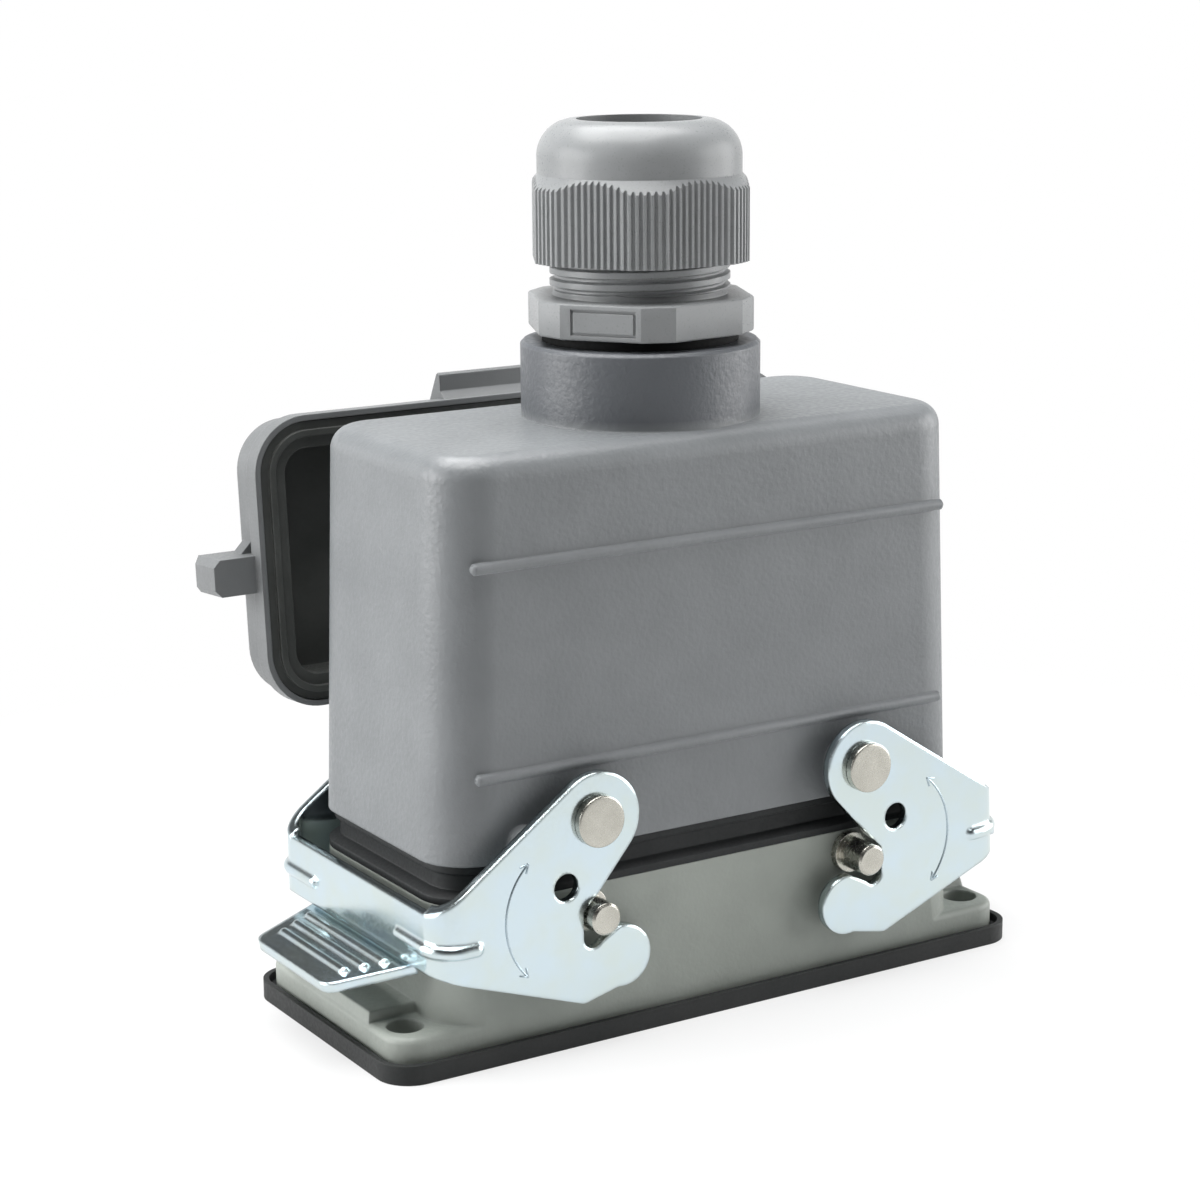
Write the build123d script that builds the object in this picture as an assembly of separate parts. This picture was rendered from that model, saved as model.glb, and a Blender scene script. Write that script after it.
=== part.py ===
from build123d import *
import math
import os

# Heavy duty rectangular connector, mated: a hood with two end levers on a bulkhead housing.
# Origin: centre of the panel face, on the underside of the flange gasket. +Z is up, out of the panel.
# X runs along the connector, the hinged cover is at the back (+Y). All sizes are in millimetres.

# Bulkhead housing and its flange
flange_end_reach = 8.55
flange_side_step = 0.2
flange_corner = 4.6
flange_thickness = 4.55
flange_edge_round = 0.9
screw_end_margin = 4.25
screw_side_margin = 5.7
screw_hole_radius = 2.8
end_bar_width = 24.6
end_bar_height = 1.5
end_bar_draft = 12.0
end_bar_inset = 0.15
housing_top = 24.0
housing_wall = 3.0
housing_draft = 0.4
base_flare = 0.7
base_flare_height = 1.0
cutout_end_clearance = 0.8
cutout_side_clearance = 0.5
cutout_corner = 3.0

# Gasket between flange and panel
gasket_end_overhang = 1.6
gasket_side_overhang = 1.95
gasket_corner = 5.4
gasket_sheet = 1.6
gasket_lip_height = 2.95
gasket_lip = 0.9

# Hood
hood_length = 94.4
hood_width = 43.0
hood_corner = 7.9
hood_bottom = 29.95
hood_top = 89.1
hood_end_draft = 1.95
hood_side_draft = 0.6
hood_wall = 3.0
hood_roof = 3.1
hood_top_round = 3.6
bead_radius = 0.85
bead_end_margin = 5.2
upper_bead_z = 73.6
lower_bead_z = 42.9
collar_radius = 18.2
collar_height = 11.4
collar_edge = 0.5

# Seal between housing and hood
seal_inset = 0.9
seal_wall = 2.3
seal_waist = 0.8
seal_lip_height = 1.3

# Lever pivots on the hood and locking pins on the housing
pivot_from_end = 22.8
pivot_z = 35.25
pivot_radius = 2.95
pivot_running_gap = 0.05
pivot_head_radius = 3.9
pivot_head_thickness = 1.2
pivot_head_edge = 0.3
pivot_boss_radius = 4.9
lever_side_gap = 0.1
lock_pin_offset = 0.2
lock_pin_z = 20.6
lock_pin_radius = 2.45
lock_pin_proud = 2.2
lock_pin_shoulder_radius = 3.2
lock_pin_shoulder = 1.2
lock_pin_spigot_radius = 2.0
lock_pin_edge = 0.35
rivet_tail = 0.8
press_gap = 0.02
nub_offset = 10.3
nub_z = 32.7
nub_radius = 2.5
nub_height = 2.2

# Pressed lever, a U-shaped yoke of sheet steel
lever_sheet = 1.5
lever_stand_off = 4.3
lever_bend = 4.5
lever_reach = 26.6
lever_arm_radius = 7.15
lever_top_slope = 36.0
lever_mouth_slope = 50.0
lever_mouth_length = 8.6
lever_slot_gap = 0.3
lever_slot_round = 1.75
lever_slot_extra = 0.65
hook_tip_angle = 12.0
hook_nose_radius = 4.7
hook_nose_lean = 8.6
lever_toe_x = 2.5
lever_toe_z = 27.8
lever_toe_round = 2.0
lever_foot_z = 19.5
lever_end_top_z = 10.6
lever_hole_x = 5.4
lever_hole_z = 9.3
lever_hole_radius = 2.1
right_lever_ajar = 3.0
tab_root_width = 32.4
tab_tip_width = 23.4
tab_length = 11.2
tab_drop = 1.8
tab_corner = 2.6
tab_rib_radius = 0.8
tab_rib_pitch = 2.75
tab_rib_count = 3
tab_rib_inset = 3.6
crease_bead_radius = 1.15
crease_bead_proud = 0.75
crease_bead_z = 15.8
crease_bead_reach = 6.2
crease_bead_end_y = 13.6

# Hinged cover, built shut in the frame of its hinge axis and then swung open
cover_end_margin = 2.8
cover_side_margin = 1.4
cover_corner = 9.0
cover_rim_height = 3.3
cover_inset = 0.95
cover_depth = 10.2
cover_wall = 1.6
cover_lip = 0.9
cover_top_round = 1.9
cover_seal_width = 4.2
cover_seal_height = 3.2
cover_seal_ridge = 0.7
cover_liner = 0.8
cover_lug_length = 7.0
cover_lug_width = 5.8
cover_lug_start = 2.1
cover_lug_drop = 1.2
cover_lug_chamfer = 1.1
cover_gusset = 2.0
cover_grip_width = 31.6
cover_grip_height = 4.2
cover_grip_start = 1.0
cover_grip_depth = 5.8
hinge_stand_off = 12.5
hinge_z = 31.0
hinge_pin_radius = 1.5
hinge_pin_gap = 0.05
hinge_pin_head_radius = 2.4
hinge_pin_head = 1.0
hinge_barrel_radius = 3.2
hinge_rim_y = 11.07
hinge_rim_z = 6.15
hinge_open_angle = 94.3
hinge_arm_inner = 4.5
hinge_arm_thickness = 4.0
hinge_side_gap = 0.4
hinge_ear_thickness = 4.0
hinge_ear_radius = 3.7
hinge_ear_foot = 9.0

# Contact inserts and their small parts
insert_end_gap = 2.0
insert_side_gap = 1.5
insert_corner = 2.0
insert_screw_end_margin = 3.45
insert_screw_side_margin = 3.5
post_margin = 3.85
socket_seat_z = 12.0
socket_flange_height = 8.0
socket_tail_drop = 4.5
socket_tail_length = 66.0
socket_face_z = 33.0
plug_step = 1.7
mating_gap = 0.4
skirt_gap = 0.3
skirt_depth = 7.4
pin_seat_z = 54.0
insert_screw_radius = 1.9
insert_screw_gap = 0.1
insert_screw_length = 17.0
insert_screw_head_radius = 3.2
insert_screw_head = 2.4
insert_screw_slot = 0.9
insert_pocket_radius = 3.6
contact_columns = 8
contact_rows = 2
contact_pitch_x = 9.0
contact_pitch_y = 14.0
contact_pin_radius = 1.25
contact_pin_gap = 0.06
contact_barrel_radius = 2.3
contact_barrel_length = 12.0
contact_pin_tip_z = 20.5
contact_fit = 0.05
socket_tube_radius = 2.0
socket_tube_floor = 9.0
terminal_screw_radius = 1.4
terminal_screw_length = 5.0
terminal_screw_gap = 0.08
terminal_screw_drop = 5.0
earth_plate_thickness = 1.2
earth_plate_width = 16.0
earth_plate_gap = 0.3

# Cable gland
gland_thread_radius = 13.65
gland_core_radius = 13.2
gland_thread_length = 14.4
gland_thread_fit = 0.06
gland_bore = 9.6
gland_washer_radius = 14.9
gland_washer_thickness = 1.5
gland_hex_flats = 32.4
gland_hex_corner = 17.45
gland_hex_height = 5.4
gland_hex_turn = 7.0
gland_hex_edge = 0.6
gland_neck_height = 10.6
gland_frame_length = 10.8
gland_frame_height = 3.8
gland_frame_line = 0.4
gland_frame_depth = 0.25
cage_seat_height = 3.5
cage_radius = 12.1
cage_bore_gap = 0.1
cage_wall = 1.6
cage_lift = 3.6
cage_height = 12.3
cage_fingers = 12
cage_slot = 1.0
cage_slot_depth = 7.0
cage_crown = 2.2
seal_ring_fit = 0.05
seal_ring_bore = 8.6
seal_ring_height = 10.2
seal_ring_floor = 0.6
nut_gap_below = 5.2
nut_thread_gap = 0.3
nut_flats = 31.9
nut_corner = 17.05
nut_hex_turn = 1.0
nut_ribs = 96
nut_rib_depth = 0.42
nut_knurl_height = 12.8
nut_chamfer_height = 2.0
nut_dome_radius = 15.4
nut_dome_height = 8.0
nut_dome_shoulder = 2.4
nut_top_radius = 10.1
nut_mouth_radius = 9.45
nut_wall = 2.2
nut_cage_gap = 0.3

# Sizes and places worked out from the sizes above
flange_length = hood_length + 2 * flange_end_reach
flange_width = hood_width + 2 * flange_side_step
screw_spacing_x = flange_length - 2 * screw_end_margin
screw_spacing_y = flange_width - 2 * screw_side_margin
gasket_length = flange_length + 2 * gasket_end_overhang
gasket_width = flange_width + 2 * gasket_side_overhang
bead_half_length = hood_length / 2 - bead_end_margin
pivot_x = hood_length / 2 - pivot_from_end
lock_pin_x = pivot_x - lock_pin_offset
nub_x = pivot_x + nub_offset
lever_plate_face = hood_width / 2 + lever_stand_off
lock_pin_end = lever_plate_face + lock_pin_proud
cover_length = hood_length + 2 * cover_end_margin
cover_width = hood_width + 2 * cover_side_margin
hinge_y = hood_width / 2 + hinge_stand_off
insert_length = hood_length - 2 * (hood_wall + insert_end_gap)
insert_width = hood_width - 2 * (hood_wall + insert_side_gap)
insert_screw_x = insert_length / 2 - insert_screw_end_margin
insert_screw_y = insert_width / 2 - insert_screw_side_margin
plug_length = insert_length - 2 * plug_step
plug_width = insert_width - 2 * plug_step
cutout_length = insert_length + 2 * cutout_end_clearance
cutout_width = insert_width + 2 * cutout_side_clearance
flange_bottom = gasket_sheet
flange_top = flange_bottom + flange_thickness
collar_top = hood_top + collar_height
washer_top = collar_top + gland_washer_thickness
hex_top = washer_top + gland_hex_height
neck_top = hex_top + gland_neck_height
cage_bottom = hex_top + cage_seat_height + cage_lift
cage_top = cage_bottom + cage_height
nut_bottom = hex_top + nut_gap_below
nut_shoulder = nut_bottom + nut_knurl_height
nut_top = nut_shoulder + nut_dome_height
socket_post_top = socket_seat_z
hood_height = hood_top - hood_bottom
big = 400.0


def polar(radius, angle):
    """A point at a radius and an angle in degrees from the +X axis."""
    return (radius * math.cos(math.radians(angle)), radius * math.sin(math.radians(angle)))


def block(x0, x1, y0, y1, z0, z1):
    """A box between two corners."""
    return Pos((x0 + x1) / 2, (y0 + y1) / 2, (z0 + z1) / 2) * Box(x1 - x0, y1 - y0, z1 - z0)


def rounded_block(length, width, corner, z0, z1):
    """An upright prism on a rounded rectangle."""
    return extrude(Pos(0, 0, z0) * RectangleRounded(length, width, corner), z1 - z0)


def wedge_face(base, draft, z0, z1):
    """Upright trapezium that narrows by the draft on each side from bottom to top."""
    half = base / 2
    corners = [(-half, z0), (half, z0), (half - draft, z1), (draft - half, z1)]
    return make_face(Polyline(*corners, close=True))


def drafted_block(length, width, end_draft, side_draft, corner, z0, z1):
    """A block whose ends and sides lean in towards the top, with round upright corners."""
    front = wedge_face(length, end_draft, z0, z1)
    side = wedge_face(width, side_draft, z0, z1)
    body = extrude(Plane.XZ * front, width, both=True) & extrude(Plane.YZ * side, length, both=True)
    uprights = body.edges().filter_by(lambda e: abs(e.tangent_at(0.5).Z) > 0.5)
    return fillet(uprights, corner)


def rod(radius, start, end):
    """A round bar from one point to another."""
    axis = Vector(*end) - Vector(*start)
    plane = Plane(origin=start, z_dir=axis)
    return extrude(plane * Circle(radius), axis.length)


def corner_signs():
    """The four quadrants of the plan."""
    return [(sx, sy) for sx in (-1, 1) for sy in (-1, 1)]


def corner_posts(margin, reach_x, reach_y, z0, z1):
    """Blocks round the four insert screws, reaching out to the housing walls."""
    posts = []
    for sx, sy in corner_signs():
        x0, x1 = sorted((sx * (insert_screw_x - margin), sx * reach_x))
        y0, y1 = sorted((sy * (insert_screw_y - margin), sy * reach_y))
        posts.append(block(x0, x1, y0, y1, z0, z1))
    return Part() + posts


def screw_holes(radius, z0, z1):
    """Bars for the four insert screws."""
    bars = [rod(radius, (sx * insert_screw_x, sy * insert_screw_y, z0),
                (sx * insert_screw_x, sy * insert_screw_y, z1)) for sx, sy in corner_signs()]
    return Part() + bars


def flange_screw_holes(z0, z1):
    """Bars for the four panel screws."""
    x, y = screw_spacing_x / 2, screw_spacing_y / 2
    bars = [rod(screw_hole_radius, (sx * x, sy * y, z0), (sx * x, sy * y, z1)) for sx, sy in corner_signs()]
    return Part() + bars


def panel_opening(z0, z1):
    """The panel cut-out with its corners left standing for the insert screw posts."""
    hole = rounded_block(cutout_length, cutout_width, cutout_corner, z0, z1)
    return hole - corner_posts(post_margin, cutout_length, cutout_width, z0, z1)


def make_gasket():
    """Flange gasket: a flat sheet with a thin upstanding lip round the flange."""
    sheet = rounded_block(gasket_length, gasket_width, gasket_corner, 0, gasket_lip_height)
    inside = rounded_block(gasket_length - 2 * gasket_lip, gasket_width - 2 * gasket_lip,
                           gasket_corner - gasket_lip, gasket_sheet, gasket_lip_height)
    return sheet - inside - panel_opening(0, gasket_sheet) - flange_screw_holes(0, gasket_sheet)


def hinge_ear(side):
    """One of the two cast ears that carry the cover's hinge pin."""
    wall_y = hood_width / 2 - housing_draft - 1.0
    foot = [(wall_y, hinge_ear_foot), (wall_y, housing_top - 1.5)]
    ring = Pos(hinge_y, hinge_z) * Circle(hinge_ear_radius)
    outline = make_hull([*ring.edges(), Line(*foot).edge()])
    inner = hinge_arm_inner + hinge_arm_thickness + hinge_side_gap
    start = inner if side > 0 else -(inner + hinge_ear_thickness)
    plane = Plane(origin=(start, 0, 0), x_dir=(0, 1, 0), z_dir=(1, 0, 0))
    ear = extrude(plane * outline, hinge_ear_thickness)
    bore = rod(hinge_pin_radius + press_gap, (start - 1, hinge_y, hinge_z),
               (start + hinge_ear_thickness + 1, hinge_y, hinge_z))
    return ear - bore


def make_housing():
    """Die-cast bulkhead housing: flange, walls, insert posts, pin holes and hinge ears."""
    flange = rounded_block(flange_length, flange_width, flange_corner, flange_bottom, flange_top)
    flange = fillet(flange.faces().sort_by(Axis.Z)[-1].outer_wire().edges(), flange_edge_round)
    body = drafted_block(hood_length + 2 * housing_draft, hood_width + 2 * housing_draft,
                         housing_draft, housing_draft, hood_corner, flange_top - 1, housing_top)
    footprint = rounded_block(flange_length, flange_width, flange_corner, flange_top - 1, housing_top)
    lean = math.degrees(math.atan2(base_flare, base_flare_height + 1))
    flare = extrude(Pos(0, 0, flange_top - 1) * RectangleRounded(
        hood_length + 2 * base_flare, hood_width + 2 * base_flare, hood_corner + base_flare),
        base_flare_height + 1, taper=lean)
    bar = extrude(Pos(0, 0, flange_top - 1) * Rectangle(flange_length - 2 * end_bar_inset, end_bar_width),
                  end_bar_height + 1, taper=end_bar_draft)
    body = (body & footprint) + (flare & footprint) + bar
    inner_length = hood_length - 2 * housing_wall
    inner_width = hood_width - 2 * housing_wall
    cavity = rounded_block(inner_length, inner_width, hood_corner - housing_wall, socket_seat_z, housing_top + 1)
    shell = flange + body - cavity - panel_opening(flange_bottom - 1, socket_seat_z)
    shell = shell - flange_screw_holes(0, flange_top + 1)
    shell = shell - screw_holes(insert_screw_radius + press_gap, flange_bottom, socket_seat_z)
    for sx, sy in corner_signs():
        shell -= rod(lock_pin_spigot_radius + press_gap, (sx * lock_pin_x, 0, lock_pin_z),
                     (sx * lock_pin_x, sy * hood_width, lock_pin_z))
    return shell + hinge_ear(-1) + hinge_ear(1)


def housing_face_y(z):
    """Outer face of the housing's long wall at a height."""
    share = (z - flange_top + 1) / (housing_top - flange_top + 1)
    return hood_width / 2 + housing_draft - housing_draft * share


def make_locking_pins():
    """Four turned pins pressed into the housing's long walls."""
    wall_in = hood_width / 2 - housing_wall
    face = housing_face_y(lock_pin_z - lock_pin_shoulder_radius)
    pins = []
    for sx, sy in corner_signs():
        x, z = sx * lock_pin_x, lock_pin_z
        spigot = rod(lock_pin_spigot_radius, (x, sy * (wall_in - rivet_tail), z), (x, sy * (face + 0.1), z))
        shoulder = rod(lock_pin_shoulder_radius, (x, sy * face, z), (x, sy * (face + lock_pin_shoulder), z))
        shank = rod(lock_pin_radius, (x, sy * face, z), (x, sy * lock_pin_end, z))
        tip = shank.faces().sort_by(Axis.Y)[-1 if sy > 0 else 0]
        pins.append(spigot + shoulder + chamfer(tip.edges(), lock_pin_edge))
    return Compound(children=pins)


def make_housing_seal():
    """Rubber profile seal that the hood is pressed down on."""
    length, width = hood_length - 2 * seal_inset, hood_width - 2 * seal_inset
    corner = hood_corner - seal_inset
    ring = rounded_block(length, width, corner, housing_top, hood_bottom)
    waist = rounded_block(length + 2, width + 2, corner + 1, housing_top + seal_lip_height,
                          hood_bottom - seal_lip_height)
    waist -= rounded_block(length - 2 * seal_waist, width - 2 * seal_waist, corner - seal_waist,
                           housing_top, hood_bottom)
    inside = rounded_block(length - 2 * seal_wall, width - 2 * seal_wall, corner - seal_wall,
                           housing_top, hood_bottom)
    return ring - waist - inside


def hood_face_y(z):
    """Outer face of the hood's long wall at a height."""
    return hood_width / 2 - hood_side_draft * (z - hood_bottom) / hood_height


def hood_bead(side, z):
    """Raised bead cast along a long wall of the hood."""
    y = side * hood_face_y(z)
    bar = rod(bead_radius, (-bead_half_length, y, z), (bead_half_length, y, z))
    return chamfer(bar.edges().filter_by(GeomType.CIRCLE), bead_radius * 0.5)


def side_bosses():
    """Cast bosses behind the levers: one at each pivot and a small rest nub beside it."""
    plate_in = lever_plate_face - lever_sheet - lever_side_gap
    bosses = []
    for sx, sy in corner_signs():
        root = hood_width / 2 - hood_wall + 0.5
        bosses.append(rod(pivot_boss_radius, (sx * pivot_x, sy * root, pivot_z),
                          (sx * pivot_x, sy * plate_in, pivot_z)))
        nub = rod(nub_radius, (sx * nub_x, sy * root, nub_z),
                  (sx * nub_x, sy * (hood_face_y(nub_z) + nub_height), nub_z))
        tip = nub.faces().sort_by(Axis.Y)[-1 if sy > 0 else 0]
        bosses.append(chamfer(tip.edges(), nub_height * 0.3))
    return Part() + bosses


def make_hood():
    """Die-cast hood: drafted shell, beads, lever bosses, insert posts and the gland collar."""
    outer = drafted_block(hood_length, hood_width, hood_end_draft, hood_side_draft, hood_corner,
                          hood_bottom, hood_top)
    outer = fillet(outer.faces().sort_by(Axis.Z)[-1].outer_wire().edges(), hood_top_round)
    roof = hood_top - hood_roof
    share = (roof - hood_bottom) / hood_height
    cavity = drafted_block(hood_length - 2 * hood_wall, hood_width - 2 * hood_wall, hood_end_draft * share,
                           hood_side_draft * share, hood_corner - hood_wall, hood_bottom, roof)
    posts = corner_posts(post_margin, hood_length, hood_width, pin_seat_z, roof) & cavity
    shell = outer - (cavity - posts)
    collar = extrude(Pos(0, 0, roof) * Circle(collar_radius), collar_top - roof)
    shell += chamfer(collar.faces().sort_by(Axis.Z)[-1].edges(), collar_edge)
    for side in (-1, 1):
        shell += hood_bead(side, upper_bead_z)
        shell += hood_bead(side, lower_bead_z)
    shell += side_bosses()
    shell -= rod(gland_thread_radius + gland_thread_fit, (0, 0, roof - 1), (0, 0, collar_top + 1))
    shell -= screw_holes(insert_screw_radius + press_gap, pin_seat_z, pin_seat_z + insert_screw_length)
    for sx, sy in corner_signs():
        shell -= rod(pivot_radius + press_gap, (sx * pivot_x, 0, pivot_z),
                     (sx * pivot_x, sy * (lever_plate_face + 1), pivot_z))
    return shell


def make_rivets():
    """Four shoulder rivets, the pivots of the levers."""
    wall_in = hood_width / 2 - hood_wall
    rivets = []
    for sx, sy in corner_signs():
        x, z = sx * pivot_x, pivot_z
        shank = rod(pivot_radius, (x, sy * (wall_in - rivet_tail), z), (x, sy * lever_plate_face, z))
        face = lever_plate_face + lever_side_gap
        neck = rod(pivot_radius, (x, sy * lever_plate_face, z), (x, sy * face, z))
        head = rod(pivot_head_radius, (x, sy * face, z), (x, sy * (face + pivot_head_thickness), z))
        tip = head.faces().sort_by(Axis.Y)[-1 if sy > 0 else 0]
        rivets.append(shank + neck + fillet(tip.edges(), pivot_head_edge))
    return Compound(children=rivets)


def lever_outline():
    """Side view of the lever about its pivot: u towards the middle, v up, for the left lever."""
    arm = lever_arm_radius
    top = polar(arm, 90 + lever_top_slope)
    side = polar(arm, lever_mouth_slope - 90)
    ux, uz = polar(1, lever_mouth_slope)
    mouth = (side[0] - lever_mouth_length * ux, side[1] - lever_mouth_length * uz)
    pin_u, pin_v = pivot_x - lock_pin_x, lock_pin_z - pivot_z
    slot_u = pin_u - lock_pin_radius - lever_slot_gap
    well = (slot_u + lever_slot_round, pin_v - lock_pin_radius - lever_slot_extra)
    well_end = (well[0] + polar(lever_slot_round, -35)[0], well[1] + polar(lever_slot_round, -35)[1])
    well_low = (well[0], well[1] - lever_slot_round)
    slot_top = (slot_u, pin_v + 1.0)
    hook_radius = math.hypot(pin_u, pin_v) + lock_pin_radius + lever_slot_gap
    tip = polar(hook_radius, hook_tip_angle - 90)
    nose = (tip[0] + polar(hook_nose_radius, hook_nose_lean - 90)[0],
            tip[1] + polar(hook_nose_radius, hook_nose_lean - 90)[1])
    nose_side = (nose[0] + hook_nose_radius, nose[1])
    nose_end = (nose[0] + polar(hook_nose_radius, -100)[0], nose[1] + polar(hook_nose_radius, -100)[1])
    end_v = (arm - lever_reach * math.sin(math.radians(lever_top_slope))) / math.cos(math.radians(lever_top_slope))
    edges = [
        ThreePointArc(top, polar(arm, 60), side),
        Line(side, mouth),
        Line(mouth, slot_top),
        Line(slot_top, (slot_u, well[1])),
        ThreePointArc((slot_u, well[1]), well_low, well_end),
        Line(well_end, tip),
        ThreePointArc(tip, nose_side, nose_end),
        Line(nose_end, (-lever_toe_x, -lever_toe_z)),
        Line((-lever_toe_x, -lever_toe_z), (-lever_reach, -lever_foot_z)),
        Line((-lever_reach, -lever_foot_z), (-lever_reach, end_v)),
        Line((-lever_reach, end_v), top),
    ]
    face = make_face(edges)
    toe = face.vertices().sort_by_distance((-lever_toe_x, -lever_toe_z, 0))[0]
    return fillet(toe, lever_toe_round)


def side_plane():
    """Sketch plane of the side view: u along +X, v along +Z, facing -Y."""
    return Plane(origin=(0, lever_plate_face + 1, 0), x_dir=(1, 0, 0), z_dir=(0, -1, 0))


def yoke_plan():
    """Plan of the folded sheet: two long plates joined by an end wall, round at the folds."""
    far = 40.0
    outer = Pos((far - lever_reach) / 2, 0) * Rectangle(far + lever_reach, 2 * lever_plate_face)
    inner = Pos((far - lever_reach + 2 * lever_sheet) / 2, 0) * Rectangle(
        far + lever_reach, 2 * (lever_plate_face - lever_sheet))
    outer = fillet(outer.vertices().group_by(Axis.X)[0], lever_bend)
    inner = fillet(inner.vertices().group_by(Axis.X)[0], lever_bend - lever_sheet)
    return outer - inner


def finger_tab():
    """Ribbed finger plate bent out from the foot of the end wall."""
    root, tip, length = tab_root_width / 2, tab_tip_width / 2, tab_length
    plan = make_face(Polyline((lever_sheet, -root), (-length, -tip), (-length, tip), (lever_sheet, root), close=True))
    plan = fillet(plan.vertices().group_by(Axis.X)[0], tab_corner)
    plate = extrude(plan, -lever_sheet)
    for index in range(tab_rib_count):
        x = -1.6 - tab_rib_pitch * index
        half = root - tab_rib_inset - index * (root - tip) * tab_rib_pitch / length
        rib = rod(tab_rib_radius, (x, -half, -0.1), (x, half, -0.1))
        plate += fillet(rib.edges().filter_by(GeomType.CIRCLE), tab_rib_radius * 0.6)
    tilt = math.degrees(math.atan2(tab_drop, tab_length))
    return Pos(-lever_reach, 0, -lever_foot_z - 0.7) * Rot(0, -tilt, 0) * plate


def fold_bead(side):
    """Stiffening bead pressed round a fold of the yoke, standing proud outside."""
    depth = crease_bead_radius - crease_bead_proud
    x_out, y_out = -lever_reach + depth, lever_plate_face - depth
    bend = lever_bend - depth
    start = (-lever_reach + crease_bead_reach, side * y_out)
    turn_in = (x_out + bend, side * y_out)
    middle = (x_out + bend * (1 - math.sqrt(0.5)), side * (y_out - bend * (1 - math.sqrt(0.5))))
    turn_out = (x_out, side * (y_out - bend))
    end = (x_out, side * crease_bead_end_y)
    path = Wire([Line(start, turn_in).edge(), ThreePointArc(turn_in, middle, turn_out).edge(),
                 Line(turn_out, end).edge()])
    section = Plane(origin=(*start, 0), z_dir=(-1, 0, 0)) * Circle(crease_bead_radius)
    bead = sweep(section, path)
    bead += Pos(*start, 0) * Sphere(crease_bead_radius) + Pos(*end, 0) * Sphere(crease_bead_radius)
    return Pos(0, 0, -crease_bead_z) * bead


def make_lever():
    """Left lever about its own pivot axis: yoke, holes, finger tab and beads."""
    side = extrude(side_plane() * lever_outline(), 2 * lever_plate_face + 2)
    yoke = extrude(Pos(0, 0, -60) * yoke_plan(), 120) & side
    wall_half = lever_plate_face - lever_bend
    yoke -= block(-lever_reach - 1, -lever_reach + lever_bend - 0.1, -wall_half, wall_half, -lever_end_top_z, 0)
    yoke += finger_tab() + fold_bead(-1) + fold_bead(1)
    inside = block(-lever_reach + lever_sheet, 0, -(lever_plate_face - lever_sheet),
                   lever_plate_face - lever_sheet, -lever_foot_z - 1, 0)
    corners = inside.edges().filter_by(Axis.Z).group_by(Axis.X)[0]
    yoke -= fillet(corners, lever_bend - lever_sheet)
    yoke -= rod(pivot_radius + pivot_running_gap, (0, -big / 2, 0), (0, big / 2, 0))
    yoke -= rod(lever_hole_radius, (-lever_hole_x, -big / 2, -lever_hole_z), (-lever_hole_x, big / 2, -lever_hole_z))
    return yoke


def make_left_lever():
    """Left lever in place."""
    return Pos(-pivot_x, 0, pivot_z) * make_lever()


def make_right_lever():
    """Right lever: the left one turned round, standing slightly short of home."""
    return Pos(pivot_x, 0, pivot_z) * Rot(0, -right_lever_ajar, 0) * Rot(0, 0, 180) * make_lever()


def cover_place():
    """Turns the shut cover about its hinge axis to where it stands open."""
    return Pos(0, hinge_y, hinge_z) * Rot(-hinge_open_angle, 0, 0)


def rim_slab(inset, z0, z1):
    """A slab on the cover's outline, set in from its rim, with heights above the rim plane."""
    centre_y = -hinge_rim_y - cover_width / 2
    slab = rounded_block(cover_length - 2 * inset, cover_width - 2 * inset, cover_corner - inset, z0, z1)
    return Pos(0, centre_y, -hinge_rim_z) * slab


def cover_lug(side):
    """Lug on an end of the cover, with a small gusset on its free side."""
    x0 = cover_length / 2 - cover_inset - 1
    x1 = cover_length / 2 + cover_lug_length
    centre_y = -hinge_rim_y - cover_width / 2 + cover_lug_drop
    top_y = centre_y - cover_lug_width / 2
    z0 = -hinge_rim_z + cover_lug_start
    z1 = -hinge_rim_z + cover_depth
    lug = block(x0, x1, top_y, centre_y + cover_lug_width / 2, z0, z1)
    end_edges = lug.faces().sort_by(Axis.X)[-1].edges()
    lug = chamfer(end_edges.filter_by(lambda e: e.center().Z > z0 + 0.1), cover_lug_chamfer)
    corner_x = cover_length / 2 - cover_inset - 0.2
    gusset = make_face(Polyline((corner_x, top_y + 0.5), (corner_x + cover_gusset, top_y + 0.5),
                                (corner_x + cover_gusset, top_y), (corner_x, top_y - cover_gusset), close=True))
    lug += extrude(Pos(0, 0, z0 + cover_rim_height) * gusset, z1 - z0 - cover_rim_height - cover_top_round)
    return lug if side > 0 else lug.mirror(Plane.YZ)


def cover_grip():
    """Finger grip along the free edge of the cover."""
    free_y = -hinge_rim_y - cover_width
    z0 = -hinge_rim_z + cover_grip_start
    z1 = z0 + cover_grip_depth
    tip_y = free_y - cover_grip_height
    outline = Polyline((free_y + cover_inset + 1, z0), (free_y, z0), (free_y - 1.3, z0 + 1.2),
                       (tip_y + 0.4, z0 + 1.2), (tip_y, z0 + 1.6), (tip_y + 0.3, z0 + 2.2),
                       (free_y + cover_inset + 1, z1), close=True)
    plane = Plane(origin=(-cover_grip_width / 2, 0, 0), x_dir=(0, 1, 0), z_dir=(1, 0, 0))
    return extrude(plane * make_face(outline), cover_grip_width)


def hinge_arm(side):
    """One of the cover's two hinge arms with its barrel."""
    barrel = Circle(hinge_barrel_radius)
    root = [(-hinge_rim_y - cover_inset - 0.4, -hinge_rim_z + 1.0),
            (-hinge_rim_y - cover_inset - 0.4, -hinge_rim_z + cover_depth - 1.6)]
    outline = make_hull([*barrel.edges(), Line(*root).edge()])
    start = hinge_arm_inner if side > 0 else -(hinge_arm_inner + hinge_arm_thickness)
    plane = Plane(origin=(start, 0, 0), x_dir=(0, 1, 0), z_dir=(1, 0, 0))
    return extrude(plane * outline, hinge_arm_thickness)


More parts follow.
